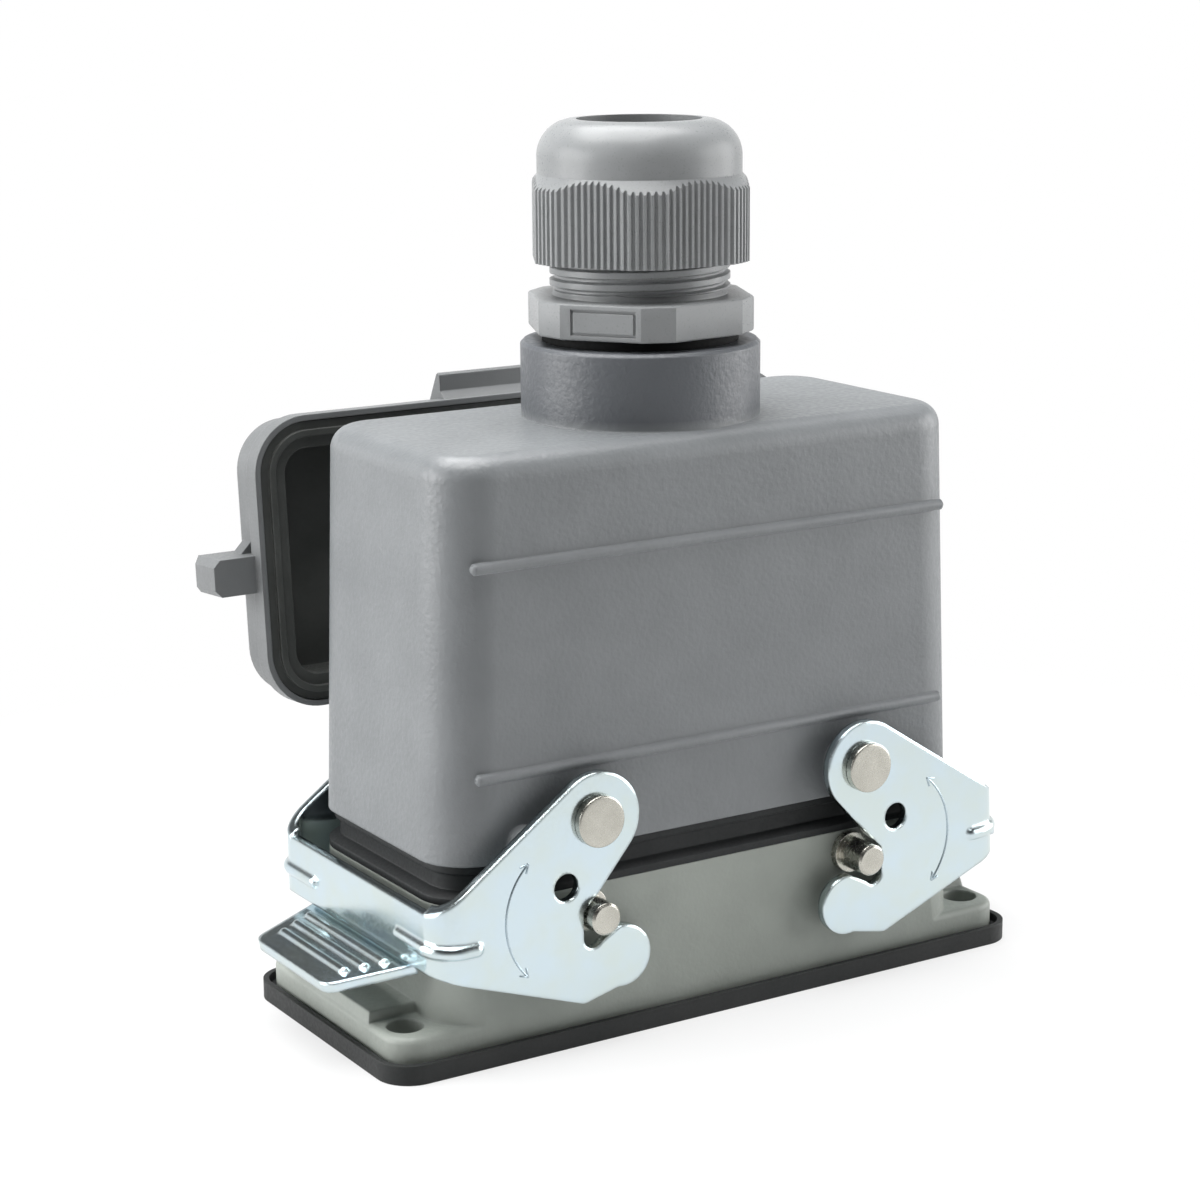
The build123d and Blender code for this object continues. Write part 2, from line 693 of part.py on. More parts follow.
def make_cover():
    """Moulded cover: rim, cap, lugs, finger grip and hinge arms, opened."""
    cap = rim_slab(cover_inset, 0.5, cover_depth)
    cap = fillet(cap.faces().sort_by(Axis.Z)[-1].edges(), cover_top_round)
    shell = rim_slab(0, 0, cover_rim_height) + cap
    shell += cover_lug(-1) + cover_lug(1) + cover_grip() + hinge_arm(-1) + hinge_arm(1)
    shell -= rim_slab(cover_lip, -1, cover_rim_height - 0.2)
    shell -= rim_slab(cover_inset + cover_wall, -1, cover_depth - cover_wall)
    shell -= rod(hinge_pin_radius + hinge_pin_gap, (-big / 2, 0, 0), (big / 2, 0, 0))
    return cover_place() * shell


def make_cover_seal():
    """Rubber seal of the cover: a ring with one ridge and a thin floor over the inside of the cap."""
    gap = 0.1
    floor_z = cover_depth - cover_wall
    ring = rim_slab(cover_lip + gap, 0.3, cover_rim_height - 0.2)
    deep = rim_slab(cover_inset + cover_wall + gap, 0.3, floor_z)
    hollow = rim_slab(cover_lip + cover_seal_width, -1, floor_z - cover_liner)
    ridge = rim_slab(cover_lip + 1.4, 0.3 - cover_seal_ridge, 1)
    ridge -= rim_slab(cover_lip + 2.4, -2, 2)
    return cover_place() * (ring + deep + ridge - hollow)


def make_hinge_pin():
    """Headed hinge pin pressed through the housing's ears."""
    outer = hinge_arm_inner + hinge_arm_thickness + hinge_side_gap + hinge_ear_thickness
    shank = rod(hinge_pin_radius, (-outer - 0.8, hinge_y, hinge_z), (outer + 0.2, hinge_y, hinge_z))
    head = rod(hinge_pin_head_radius, (outer, hinge_y, hinge_z), (outer + hinge_pin_head, hinge_y, hinge_z))
    return shank + fillet(head.faces().sort_by(Axis.X)[-1].edges(), 0.4)


def contact_places():
    """Centres of the contacts in the plan."""
    x0 = -contact_pitch_x * (contact_columns - 1) / 2
    y0 = -contact_pitch_y * (contact_rows - 1) / 2
    return [(x0 + contact_pitch_x * i, y0 + contact_pitch_y * j)
            for j in range(contact_rows) for i in range(contact_columns)]


def contact_bars(radius, z0, z1):
    """One bar at every contact."""
    return Part() + [rod(radius, (x, y, z0), (x, y, z1)) for x, y in contact_places()]


def terminal_bars(radius, inner, outer, z):
    """One bar across to every contact from the nearer long side."""
    bars = []
    for x, y in contact_places():
        side = 1 if y > 0 else -1
        bars.append(rod(radius, (x, side * inner, z), (x, side * outer, z)))
    return bars


def make_socket_insert():
    """Moulded body that holds the socket contacts, seated on the housing's posts."""
    flange_top_z = socket_seat_z + socket_flange_height
    body = rounded_block(insert_length, insert_width, insert_corner, socket_seat_z, flange_top_z)
    body += rounded_block(plug_length, plug_width, insert_corner, flange_top_z - 1, socket_face_z)
    body += rounded_block(socket_tail_length, insert_width - 1, insert_corner,
                          socket_seat_z - socket_tail_drop, socket_seat_z + 1)
    body -= screw_holes(insert_screw_radius + insert_screw_gap, socket_seat_z - 1, flange_top_z)
    body -= screw_holes(insert_pocket_radius, flange_top_z, socket_face_z + 1)
    body -= contact_bars(socket_tube_radius + contact_fit, socket_tube_floor, socket_face_z - 1)
    body -= contact_bars(contact_pin_radius + contact_pin_gap, socket_tube_floor, socket_face_z + 1)
    body -= contact_bars(terminal_screw_radius, 0, socket_tube_floor)
    body -= Part() + terminal_bars(terminal_screw_radius + terminal_screw_gap, contact_pitch_y / 2 + 1,
                                   insert_width, socket_seat_z + terminal_screw_drop)
    return body


def make_socket_contacts():
    """Turned socket contacts, one solid each."""
    contacts = []
    for x, y in contact_places():
        tube = rod(socket_tube_radius, (x, y, socket_tube_floor), (x, y, socket_face_z - 1))
        tube -= rod(contact_pin_radius + contact_pin_gap, (x, y, contact_pin_tip_z - 1), (x, y, socket_face_z))
        contacts.append(tube)
    return Compound(children=contacts)


def make_pin_insert():
    """Moulded body that holds the pin contacts, with a skirt round the socket insert's face."""
    web_z = socket_face_z + mating_gap
    skirt_z = socket_face_z - skirt_depth + mating_gap
    body = rounded_block(insert_length, insert_width, insert_corner, skirt_z, pin_seat_z)
    body -= rounded_block(plug_length + 2 * skirt_gap, plug_width + 2 * skirt_gap, insert_corner - 0.4,
                          skirt_z - 1, web_z)
    head_z = web_z + 2 * insert_screw_head
    body -= screw_holes(insert_pocket_radius, skirt_z - 1, head_z)
    body -= screw_holes(insert_screw_radius + insert_screw_gap, head_z, pin_seat_z + 1)
    body -= contact_bars(contact_pin_radius + contact_fit, web_z - 1, pin_seat_z)
    body -= contact_bars(contact_barrel_radius + contact_fit, pin_seat_z - contact_barrel_length, pin_seat_z + 1)
    body -= Part() + terminal_bars(terminal_screw_radius + terminal_screw_gap, contact_pitch_y / 2 + 1,
                                   insert_width, pin_seat_z - terminal_screw_drop)
    return body


def make_contact_pins():
    """Turned pin contacts with their screw barrels, one solid each."""
    pins = []
    barrel_z = pin_seat_z - contact_barrel_length
    for x, y in contact_places():
        pin = rod(contact_pin_radius, (x, y, contact_pin_tip_z), (x, y, barrel_z + 1))
        pin = chamfer(pin.faces().sort_by(Axis.Z)[0].edges(), contact_pin_radius * 0.5)
        barrel = rod(contact_barrel_radius, (x, y, barrel_z), (x, y, pin_seat_z - 1))
        barrel -= rod(contact_pin_radius, (x, y, barrel_z + 3), (x, y, pin_seat_z))
        pins.append(pin + barrel)
    return Compound(children=pins)


def make_terminal_screws(start, z):
    """Grub screws that clamp the wires, bearing on the contacts."""
    return Compound(children=terminal_bars(terminal_screw_radius, start, start + terminal_screw_length, z))


def insert_screw(x, y, seat_z, down):
    """Slotted pan head screw: head on the seat, shank through to the housing post."""
    head_end = seat_z - down * insert_screw_head
    head = rod(insert_screw_head_radius, (x, y, seat_z), (x, y, head_end))
    end_face = head.faces().sort_by(Axis.Z)[-1 if down < 0 else 0]
    head = fillet(end_face.edges(), 0.5)
    shank = rod(insert_screw_radius, (x, y, seat_z), (x, y, seat_z + down * insert_screw_length))
    z0, z1 = sorted((head_end, head_end + down * insert_screw_slot))
    slot = block(x - 0.5, x + 0.5, y - insert_screw_head_radius, y + insert_screw_head_radius, z0 - 0.5, z1)
    if down < 0:
        slot = block(x - 0.5, x + 0.5, y - insert_screw_head_radius, y + insert_screw_head_radius, z0, z1 + 0.5)
    return head + shank - slot


def make_socket_insert_screws():
    """Four screws that hold the socket insert down on its posts."""
    seat = socket_seat_z + socket_flange_height
    return Compound(children=[insert_screw(sx * insert_screw_x, sy * insert_screw_y, seat, -1)
                              for sx, sy in corner_signs()])


def make_pin_insert_screws():
    """Four screws that hold the pin insert up against the hood's posts."""
    seat = socket_face_z + mating_gap + 2 * insert_screw_head
    return Compound(children=[insert_screw(sx * insert_screw_x, sy * insert_screw_y, seat, 1)
                              for sx, sy in corner_signs()])


def earth_plates(z0, z1):
    """A pair of earth plates against the ends of an insert."""
    x0 = insert_length / 2
    x1 = x0 + earth_plate_thickness
    half = earth_plate_width / 2
    return Compound(children=[block(-x1, -x0, -half, half, z0, z1), block(x0, x1, -half, half, z0, z1)])


def cut_hex(flats, corner, turn):
    """A hexagon whose corners are cut off by small flats."""
    hexagon = RegularPolygon(flats / 2, 6, major_radius=False)
    cutter = Rot(0, 0, 30) * RegularPolygon(corner, 6, major_radius=False)
    return Rot(0, 0, turn) * (hexagon & cutter)


def gland_frame():
    """Shallow rectangular frame line sunk in one flat of the gland's hexagon."""
    half, face = gland_frame_length / 2, gland_hex_flats / 2
    low = washer_top + (gland_hex_height - gland_frame_height) / 2
    line = gland_frame_line
    outer = block(face - gland_frame_depth, face + 1, -half, half, low, low + gland_frame_height)
    inner = block(face - 1, face + 2, -half + line, half - line, low + line, low + gland_frame_height - line)
    return Rot(0, 0, gland_hex_turn - 150) * (outer - inner)


def make_gland_body():
    """Gland body: screwed-in thread, hexagon and the neck that takes the cage and nut."""
    tail = rod(gland_thread_radius, (0, 0, washer_top - gland_thread_length), (0, 0, washer_top))
    hexagon = extrude(Pos(0, 0, washer_top) * cut_hex(gland_hex_flats, gland_hex_corner, gland_hex_turn),
                      gland_hex_height)
    hexagon = chamfer(hexagon.faces().sort_by(Axis.Z)[-1].edges(), gland_hex_edge * 0.5)
    neck = rod(gland_thread_radius, (0, 0, hex_top), (0, 0, neck_top))
    bore = rod(gland_bore, (0, 0, 0), (0, 0, big))
    seat = rod(cage_radius + cage_bore_gap, (0, 0, hex_top + cage_seat_height), (0, 0, big))
    return tail + hexagon + neck - bore - seat - gland_frame()


def make_gland_washer():
    """Rubber washer under the gland's hexagon."""
    return (rod(gland_washer_radius, (0, 0, collar_top), (0, 0, washer_top))
            - rod(gland_thread_radius + gland_thread_fit, (0, 0, collar_top - 1), (0, 0, washer_top + 1)))


def make_cage():
    """Clamping cage with spring fingers, sliding in the gland's neck."""
    crown_radius = cage_radius - cage_crown * 0.5
    profile = Polyline((cage_radius - cage_wall, cage_bottom), (cage_radius, cage_bottom),
                       (cage_radius, cage_top - cage_crown), (crown_radius, cage_top),
                       (cage_radius - cage_wall, cage_top), close=True)
    ring = revolve(Plane.XZ * make_face(profile), Axis.Z)
    for index in range(cage_fingers // 2):
        slot = block(-big / 4, big / 4, -cage_slot / 2, cage_slot / 2, cage_top - cage_slot_depth, cage_top + 1)
        ring -= Rot(0, 0, 360 * index / cage_fingers) * slot
    return ring


def make_gland_seal():
    """Rubber sealing ring inside the cage."""
    z0 = cage_bottom + seal_ring_floor
    ring = rod(cage_radius - cage_wall - seal_ring_fit, (0, 0, z0), (0, 0, z0 + seal_ring_height))
    return ring - rod(seal_ring_bore, (0, 0, z0 - 1), (0, 0, z0 + seal_ring_height + 1))


def ribbed_hex():
    """Hexagon with cut corners whose whole outline is covered with small upright ribs."""
    points = []
    for index in range(nut_ribs):
        for share, depth in ((-0.28, 0), (0.08, 0), (0.28, nut_rib_depth), (0.52, nut_rib_depth)):
            angle = 360 * (index + share) / nut_ribs
            from_flat = (angle - nut_hex_turn) % 60 - 30
            flat = nut_flats / 2 / math.cos(math.radians(from_flat))
            points.append(polar(min(nut_corner, flat) - depth, angle))
    return make_face(Polyline(*points, close=True))


def nut_outside():
    """Outside of the dome nut: ribbed grip cut by a cone at the top, with the dome above."""
    grip = extrude(Pos(0, 0, nut_bottom) * ribbed_hex(), nut_knurl_height)
    low = nut_shoulder - nut_chamfer_height
    cone_edge = Polyline((0, nut_bottom), (nut_corner + 0.6, nut_bottom), (nut_corner + 0.6, low - 0.7),
                         (nut_dome_radius, nut_shoulder), (0, nut_shoulder), close=True)
    grip &= revolve(Plane.XZ * make_face(cone_edge), Axis.Z)
    shoulder = nut_shoulder + nut_dome_shoulder
    rise = nut_top - shoulder
    run = nut_dome_radius - nut_top_radius
    middle = (nut_top_radius + run * math.sqrt(0.5), shoulder + rise * math.sqrt(0.5))
    edges = [
        Line((0, nut_shoulder - 1), (nut_dome_radius, nut_shoulder - 1)),
        Line((nut_dome_radius, nut_shoulder - 1), (nut_dome_radius, shoulder)),
        ThreePointArc((nut_dome_radius, shoulder), middle, (nut_top_radius, nut_top)),
        Line((nut_top_radius, nut_top), (0, nut_top)),
        Line((0, nut_top), (0, nut_shoulder - 1)),
    ]
    return grip + revolve(Plane.XZ * make_face(edges), Axis.Z)


def make_gland_nut():
    """Domed clamping nut."""
    thread = gland_thread_radius + nut_thread_gap
    crown = cage_radius - cage_crown * 0.5
    cavity = Polyline((0, nut_bottom - 1), (thread, nut_bottom - 1), (thread, nut_shoulder - 1.0),
                      (crown + 0.4, cage_top + nut_cage_gap), (nut_mouth_radius, cage_top + nut_cage_gap),
                      (nut_mouth_radius, nut_top + 1), (0, nut_top + 1), close=True)
    return nut_outside() - revolve(Plane.XZ * make_face(cavity), Axis.Z)


PARTS = {
    "flange_gasket": make_gasket,
    "base_housing": make_housing,
    "housing_seal": make_housing_seal,
    "locking_pins": make_locking_pins,
    "socket_insert": make_socket_insert,
    "socket_contacts": make_socket_contacts,
    "socket_terminal_screws": lambda: make_terminal_screws(
        contact_pitch_y / 2 + socket_tube_radius, socket_seat_z + terminal_screw_drop),
    "socket_insert_screws": make_socket_insert_screws,
    "socket_earth_plates": lambda: earth_plates(
        socket_seat_z + 1, socket_face_z - skirt_depth + mating_gap),
    "hood_shell": make_hood,
    "lever_rivets": make_rivets,
    "pin_insert": make_pin_insert,
    "contact_pins": make_contact_pins,
    "pin_terminal_screws": lambda: make_terminal_screws(
        contact_pitch_y / 2 + contact_barrel_radius, pin_seat_z - terminal_screw_drop),
    "pin_insert_screws": make_pin_insert_screws,
    "pin_earth_plates": lambda: earth_plates(
        socket_face_z - skirt_depth + mating_gap, pin_seat_z - 2),
    "left_lever": make_left_lever,
    "right_lever": make_right_lever,
    "cover_shell": make_cover,
    "cover_seal": make_cover_seal,
    "cover_hinge_pin": make_hinge_pin,
    "gland_body": make_gland_body,
    "gland_washer": make_gland_washer,
    "gland_cage": make_cage,
    "gland_seal": make_gland_seal,
    "gland_nut": make_gland_nut,
}

os.makedirs("parts", exist_ok=True)
for name, make in PARTS.items():
    export_step(make(), f"parts/{name}.step")
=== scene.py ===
import logging
import math
from contextlib import contextmanager
from dataclasses import dataclass, field
from enum import Enum
from typing import Callable, Iterator, Optional, Sequence

import bmesh
import bpy
from mathutils import Matrix, Vector


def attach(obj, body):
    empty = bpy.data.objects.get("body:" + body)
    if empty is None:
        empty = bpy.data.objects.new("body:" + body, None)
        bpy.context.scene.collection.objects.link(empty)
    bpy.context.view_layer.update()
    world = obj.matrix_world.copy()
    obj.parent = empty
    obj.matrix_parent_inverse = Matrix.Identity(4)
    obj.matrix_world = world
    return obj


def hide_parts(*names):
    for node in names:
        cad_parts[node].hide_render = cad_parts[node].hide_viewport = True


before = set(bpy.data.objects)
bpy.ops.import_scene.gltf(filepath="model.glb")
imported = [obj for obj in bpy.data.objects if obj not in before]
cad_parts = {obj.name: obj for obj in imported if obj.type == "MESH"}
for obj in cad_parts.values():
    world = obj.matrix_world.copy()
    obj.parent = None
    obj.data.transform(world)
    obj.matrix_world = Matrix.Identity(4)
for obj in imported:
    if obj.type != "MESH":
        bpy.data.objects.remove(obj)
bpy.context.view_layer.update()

log = logging.getLogger("connector")
MM = 0.001


class Body(Enum):
    """The bodies that new pieces ride on."""

    HOUSING = "housing"
    LEFT_YOKE = "left_yoke"
    RIGHT_YOKE = "right_yoke"


class Joining(Enum):
    """What a second solid does to the first."""

    UNION = "UNION"
    DIFFERENCE = "DIFFERENCE"


class Axis(Enum):
    """The axes that a mesh is turned about."""

    Y = "Y"
    Z = "Z"


# Colours and the node helper.


def linear(code: str) -> tuple[float, float, float, float]:
    """Turns an sRGB hex colour into linear light.

    Args:
        code: six hex digits, with or without a leading hash.

    Returns:
        Red, green and blue in linear light, and an alpha of 1.
    """
    digits = code.lstrip("#")
    parts = [int(digits[i : i + 2], 16) / 255 for i in (0, 2, 4)]
    red, green, blue = (
        p / 12.92 if p <= 0.04045 else ((p + 0.055) / 1.055) ** 2.4 for p in parts
    )
    return (red, green, blue, 1.0)


def add_node(
    tree: bpy.types.NodeTree,
    kind: str,
    settings: Optional[dict] = None,
    links: Optional[dict] = None,
) -> bpy.types.Node:
    """Adds one node, sets its properties and socket values, and links its inputs.

    Args:
        tree: the node tree of the material.
        kind: the node's type name, such as "ShaderNodeTexNoise".
        settings: property names or input names or numbers, with their values.
        links: input names or numbers, with the output socket that feeds each.

    Returns:
        The new node.
    """
    node = tree.nodes.new(kind)
    for key, value in (settings or {}).items():
        if isinstance(key, str) and hasattr(node, key):
            setattr(node, key, value)
        else:
            node.inputs[key].default_value = value
    for key, socket in (links or {}).items():
        tree.links.new(socket, node.inputs[key])
    return node


# Finishes.

# The materials already built, by name.
MADE: dict[str, bpy.types.Material] = {}

# The part of the noise's range over which the mottling and the grain pass from end to end.
MOTTLE_SPAN = (0.35, 0.65)
GRAIN_SPAN = (0.3, 0.7)

# How well the softened normal agrees with the face where the painted edge highlight starts and where
# it is full.
EDGE_HIGHLIGHT_SPAN = (0.99, 0.85)


@dataclass(frozen=True)
class Finish:
    """A surface finish: two mottled colours, a grain in relief and gloss, and edges paled by a painted
    highlight.

    The scales are cycles per metre on Object coordinates, worked out from sizes in millimetres.
    """

    name: str
    slot: str
    colour: str
    mottle_colour: str
    # The colour of the painted highlight along the edges.
    edge_highlight_colour: str
    metallic: float = 0.0
    roughness: float = 0.5
    roughness_spread: float = 0.08
    grain_mm: float = 0.6
    grain_bump_mm: float = 0.02
    mottle_mm: float = 9.0
    # How far the edges pass into the painted highlight colour.
    edge_highlight: float = 0.35
    specular: float = 0.5
    edge_mm: float = 0.25
    # A painted shade: the colour that the coat passes into between two heights.
    painted_shade_colour: Optional[str] = None
    upper_from_mm: float = 0.0
    upper_to_mm: float = 1.0

    def material(self) -> bpy.types.Material:
        """Builds the node material for this finish, or gives the one already built.

        Returns:
            The finished material.
        """
        if self.name in MADE:
            return MADE[self.name]
        mat = bpy.data.materials.new(self.name)
        MADE[self.name] = mat
        mat.use_nodes = True
        tree = mat.node_tree
        tree.nodes.clear()
        place = add_node(tree, "ShaderNodeTexCoord").outputs["Object"]
        soft_edge = add_node(
            tree, "ShaderNodeBevel", {"samples": 6, "Radius": self.edge_mm * MM}
        ).outputs[0]
        grain = add_node(
            tree,
            "ShaderNodeTexNoise",
            {"Scale": 1000 / self.grain_mm, "Detail": 2.0, "Roughness": 0.5},
            {"Vector": place},
        ).outputs[0]
        colour = self._mottled(tree, place)
        # The painted shade above a height, where the finish has one.
        if self.painted_shade_colour is not None:
            colour = self._painted_upper_shade(tree, place, colour)
        shader = add_node(
            tree,
            "ShaderNodeBsdfPrincipled",
            {"Metallic": self.metallic, "Specular IOR Level": self.specular},
            {
                "Base Color": self._painted_edge_highlight(tree, colour, soft_edge),
                "Roughness": self._gloss(tree, grain),
                "Normal": self._relief(tree, grain, soft_edge),
            },
        )
        add_node(tree, "ShaderNodeOutputMaterial", {}, {0: shader.outputs[0]})
        return mat

    def _mottled(
        self, tree: bpy.types.NodeTree, place: bpy.types.NodeSocket
    ) -> bpy.types.NodeSocket:
        """Mixes the two colours in soft clouds.

        Args:
            tree: the material's node tree.
            place: the coordinates to draw on.

        Returns:
            The mottled colour.
        """
        clouds = add_node(
            tree,
            "ShaderNodeTexNoise",
            {"Scale": 1000 / self.mottle_mm, "Detail": 4.0, "Roughness": 0.55},
            {"Vector": place},
        )
        share = add_node(
            tree,
            "ShaderNodeMapRange",
            {"From Min": MOTTLE_SPAN[0], "From Max": MOTTLE_SPAN[1]},
            {"Value": clouds.outputs[0]},
        )
        return add_node(
            tree,
            "ShaderNodeMix",
            {"data_type": "RGBA", 6: linear(self.colour), 7: linear(self.mottle_colour)},
            {0: share.outputs[0]},
        ).outputs[2]

    def _painted_upper_shade(
        self,
        tree: bpy.types.NodeTree,
        place: bpy.types.NodeSocket,
        colour: bpy.types.NodeSocket,
    ) -> bpy.types.NodeSocket:
        """Darkens the colour above a height into a painted shade.

        Args:
            tree: the material's node tree.
            place: the coordinates to draw on.
            colour: the mottled colour.

        Returns:
            The tinted colour.
        """
        height = add_node(tree, "ShaderNodeSeparateXYZ", {}, {0: place}).outputs["Z"]
        share = add_node(
            tree,
            "ShaderNodeMapRange",
            {"From Min": self.upper_from_mm * MM, "From Max": self.upper_to_mm * MM},
            {"Value": height},
        )
        return add_node(
            tree,
            "ShaderNodeMix",
            {"data_type": "RGBA", 7: linear(self.painted_shade_colour)},
            {0: share.outputs[0], 6: colour},
        ).outputs[2]

    def _painted_edge_highlight(
        self,
        tree: bpy.types.NodeTree,
        colour: bpy.types.NodeSocket,
        soft_edge: bpy.types.NodeSocket,
    ) -> bpy.types.NodeSocket:
        """Pales the colour along the edges as a painted highlight.

        Args:
            tree: the material's node tree.
            colour: the colour of the faces.
            soft_edge: the normal with softened edges.

        Returns:
            The colour with paler edges.
        """
        face = add_node(tree, "ShaderNodeNewGeometry").outputs["Normal"]
        agreement = add_node(
            tree,
            "ShaderNodeVectorMath",
            {"operation": "DOT_PRODUCT"},
            {0: soft_edge, 1: face},
        )
        share = add_node(
            tree,
            "ShaderNodeMapRange",
            {"From Min": EDGE_HIGHLIGHT_SPAN[0], "From Max": EDGE_HIGHLIGHT_SPAN[1], "To Min": 0.0, "To Max": self.edge_highlight},
            {"Value": agreement.outputs["Value"]},
        )
        return add_node(
            tree,
            "ShaderNodeMix",
            {"data_type": "RGBA", 7: linear(self.edge_highlight_colour)},
            {0: share.outputs[0], 6: colour},
        ).outputs[2]

    def _gloss(
        self, tree: bpy.types.NodeTree, grain: bpy.types.NodeSocket
    ) -> bpy.types.NodeSocket:
        """Spreads the roughness round its middle with the grain.

        Args:
            tree: the material's node tree.
            grain: the grain's value.

        Returns:
            The roughness.
        """
        return add_node(
            tree,
            "ShaderNodeMapRange",
            {
                "From Min": GRAIN_SPAN[0],
                "From Max": GRAIN_SPAN[1],
                "To Min": max(0.02, self.roughness - self.roughness_spread),
                "To Max": min(1.0, self.roughness + self.roughness_spread),
            },
            {"Value": grain},
        ).outputs[0]

    def _relief(
        self,
        tree: bpy.types.NodeTree,
        grain: bpy.types.NodeSocket,
        soft_edge: bpy.types.NodeSocket,
    ) -> bpy.types.NodeSocket:
        """Raises the grain on the softened surface.

        Args:
            tree: the material's node tree.
            grain: the grain's value.
            soft_edge: the normal with softened edges.

        Returns:
            The normal.
        """
        return add_node(
            tree,
            "ShaderNodeBump",
            {"Strength": 1.0, "Distance": self.grain_bump_mm * MM},
            {"Height": grain, "Normal": soft_edge},
        ).outputs[0]


# The grain of rubber, plastic and plating is finer than 0.1 mm. It is drawn at 0.35 to 0.6 mm to show.

# Powder coat over die-cast aluminium: an orange-peel pebble that breaks the highlights up, drawn
# coarser than the real one so that it shows. Above the roof the cable collar turns to a darker colour,
# a painted shade.
HOOD_COAT = Finish(
    "grey_powder_coat_on_hood", "powder_coated_hood", "#737678", "#6E7173", "#8B8E90",
    roughness=0.42, grain_mm=0.85, grain_bump_mm=0.075, edge_highlight=0.2, edge_mm=0.45, specular=0.5,
    painted_shade_colour="#55585C", upper_from_mm=89.4, upper_to_mm=90.6,
)
# The same coat, paler and a shade greener on the lower housing, with a slightly finer pebble.
BASE_COAT = Finish(
    "grey_powder_coat_on_base", "powder_coated_housing", "#8F948E", "#888D87", "#A6A9A5",
    roughness=0.48, grain_mm=0.65, grain_bump_mm=0.04, edge_highlight=0.25, edge_mm=0.6, specular=0.4,
)
# Moulded nitrile rubber sheet: dull black-grey with a faint bloom, and corners paled by a painted
# highlight.
GASKET_RUBBER = Finish(
    "moulded_rubber_gasket", "gasket_rubber", "#2B2C2C", "#252727", "#474948",
    roughness=0.55, grain_mm=0.5, grain_bump_mm=0.015, edge_highlight=0.4, specular=0.25,
)
# The profile seal: the same rubber, painted blacker than the gasket for the shade it sits in between
# hood and housing, with a painted dull sheen on its lips.
SHADED_SEAL_RUBBER = Finish(
    "moulded_rubber_seal_in_painted_shade", "seal_rubber", "#202223", "#1A1C1D", "#343636",
    roughness=0.55, grain_mm=0.5, grain_bump_mm=0.012, edge_highlight=0.4, specular=0.3,
)
# The gland's washer: black rubber, painted darker still for the shade between hexagon and collar.
WASHER_RUBBER_IN_PAINTED_SHADE = Finish(
    "moulded_rubber_washer_painted_shade", "seal_rubber", "#0C0D0D", "#090A0A", "#1A1B1B",
    roughness=0.7, grain_mm=0.5, grain_bump_mm=0.012, edge_highlight=0.3, specular=0.12,
)
# The flap's seal: the same rubber, greyer, with edges paled by a painted highlight so that its steps
# can be seen.
FLAP_RUBBER = Finish(
    "moulded_rubber_flap_seal", "seal_rubber", "#454745", "#3B3D3B", "#626462",
    roughness=0.55, grain_mm=0.5, grain_bump_mm=0.012, edge_highlight=0.5, specular=0.4,
)
# Zinc-plated pressed sheet steel: bluish white and half mirror, with a faint cloudy unevenness.
ZINC = Finish(
    "bright_zinc_plate_on_steel", "zinc_plated_steel", "#CFDEE5", "#D0DCDB", "#E4ECEF", metallic=1.0,
    roughness=0.18, roughness_spread=0.04, grain_mm=0.6, grain_bump_mm=0.001,
    mottle_mm=7.0, edge_highlight=0.3, edge_mm=0.8,
)
# The stamped line of the levers' arrows: the same plating, slightly darker.
ZINC_MARK = Finish(
    "stamped_zinc_plate_on_steel", "zinc_plated_steel", "#B4C3CA", "#ABBAC2", "#C9D3D8", metallic=1.0,
    roughness=0.3, roughness_spread=0.06, grain_mm=0.5, grain_bump_mm=0.003,
    mottle_mm=6.0, edge_highlight=0.2, edge_mm=0.1,
)
# Nickel-plated turned steel: warmer and softer in its reflections than the zinc.
NICKEL = Finish(
    "nickel_plate_on_steel", "nickel_steel", "#C4C2B9", "#B9B7AE", "#D6D4CD", metallic=1.0,
    roughness=0.27, roughness_spread=0.02, grain_mm=0.5, grain_bump_mm=0.0004,
    mottle_mm=3.0, edge_highlight=0.4, edge_mm=0.15,
)
# Injection-moulded glass-filled polyamide of the gland: satin grey with a cloudy flow.
GLAND_PLASTIC = Finish(
    "moulded_polyamide_gland", "gland_plastic", "#848687", "#7F8182", "#999B9C",
    roughness=0.33, grain_mm=0.35, grain_bump_mm=0.005, mottle_mm=7.0, edge_highlight=0.3, edge_mm=0.15,
    specular=0.3,
)
# Moulded ABS of the flap: mid grey, lightly spark-eroded.
COVER_PLASTIC = Finish(
    "moulded_abs_cover", "cover_plastic", "#6F7172", "#696B6C", "#868888",
    roughness=0.45, grain_mm=0.4, grain_bump_mm=0.012, mottle_mm=8.0, edge_highlight=0.3, specular=0.35,
)
# Moulded polycarbonate contact carriers: light grey and slightly glossy.
INSERT_PLASTIC = Finish(
    "moulded_polycarbonate_insert", "insert_plastic", "#C9C6BC", "#C2BFB5", "#D6D3CA",
    roughness=0.4, grain_mm=0.4, grain_bump_mm=0.008, mottle_mm=8.0, edge_highlight=0.2,
)
# Silver-plated copper alloy contacts: pale, slightly yellow and tarnished.
CONTACT_METAL = Finish(
    "silver_plated_copper_alloy", "contact_metal", "#CFC6B0", "#BDB299", "#E0DACB", metallic=1.0,
    roughness=0.3, grain_mm=0.4, grain_bump_mm=0.004, mottle_mm=3.0, edge_highlight=0.3,
)


# The stage.


@dataclass(frozen=True)
class SoftBox:
    """A square area lamp aimed at the middle of the object, in millimetres and watts."""

    name: str
    place: tuple[float, float, float]
    size: float
    power: float
    aim_height: float = 60.0

    def hang(self) -> None:
        """Adds the lamp to the scene."""
        data = bpy.data.lights.new(self.name, "AREA")
        data.size = self.size * MM
        data.energy = self.power
        lamp = bpy.data.objects.new(self.name, data)
        bpy.context.scene.collection.objects.link(lamp)
        lamp.location = Vector(self.place) * MM
        aim = Vector((0, 0, self.aim_height)) - Vector(self.place)
        lamp.rotation_euler = aim.to_track_quat("-Z", "Y").to_euler()


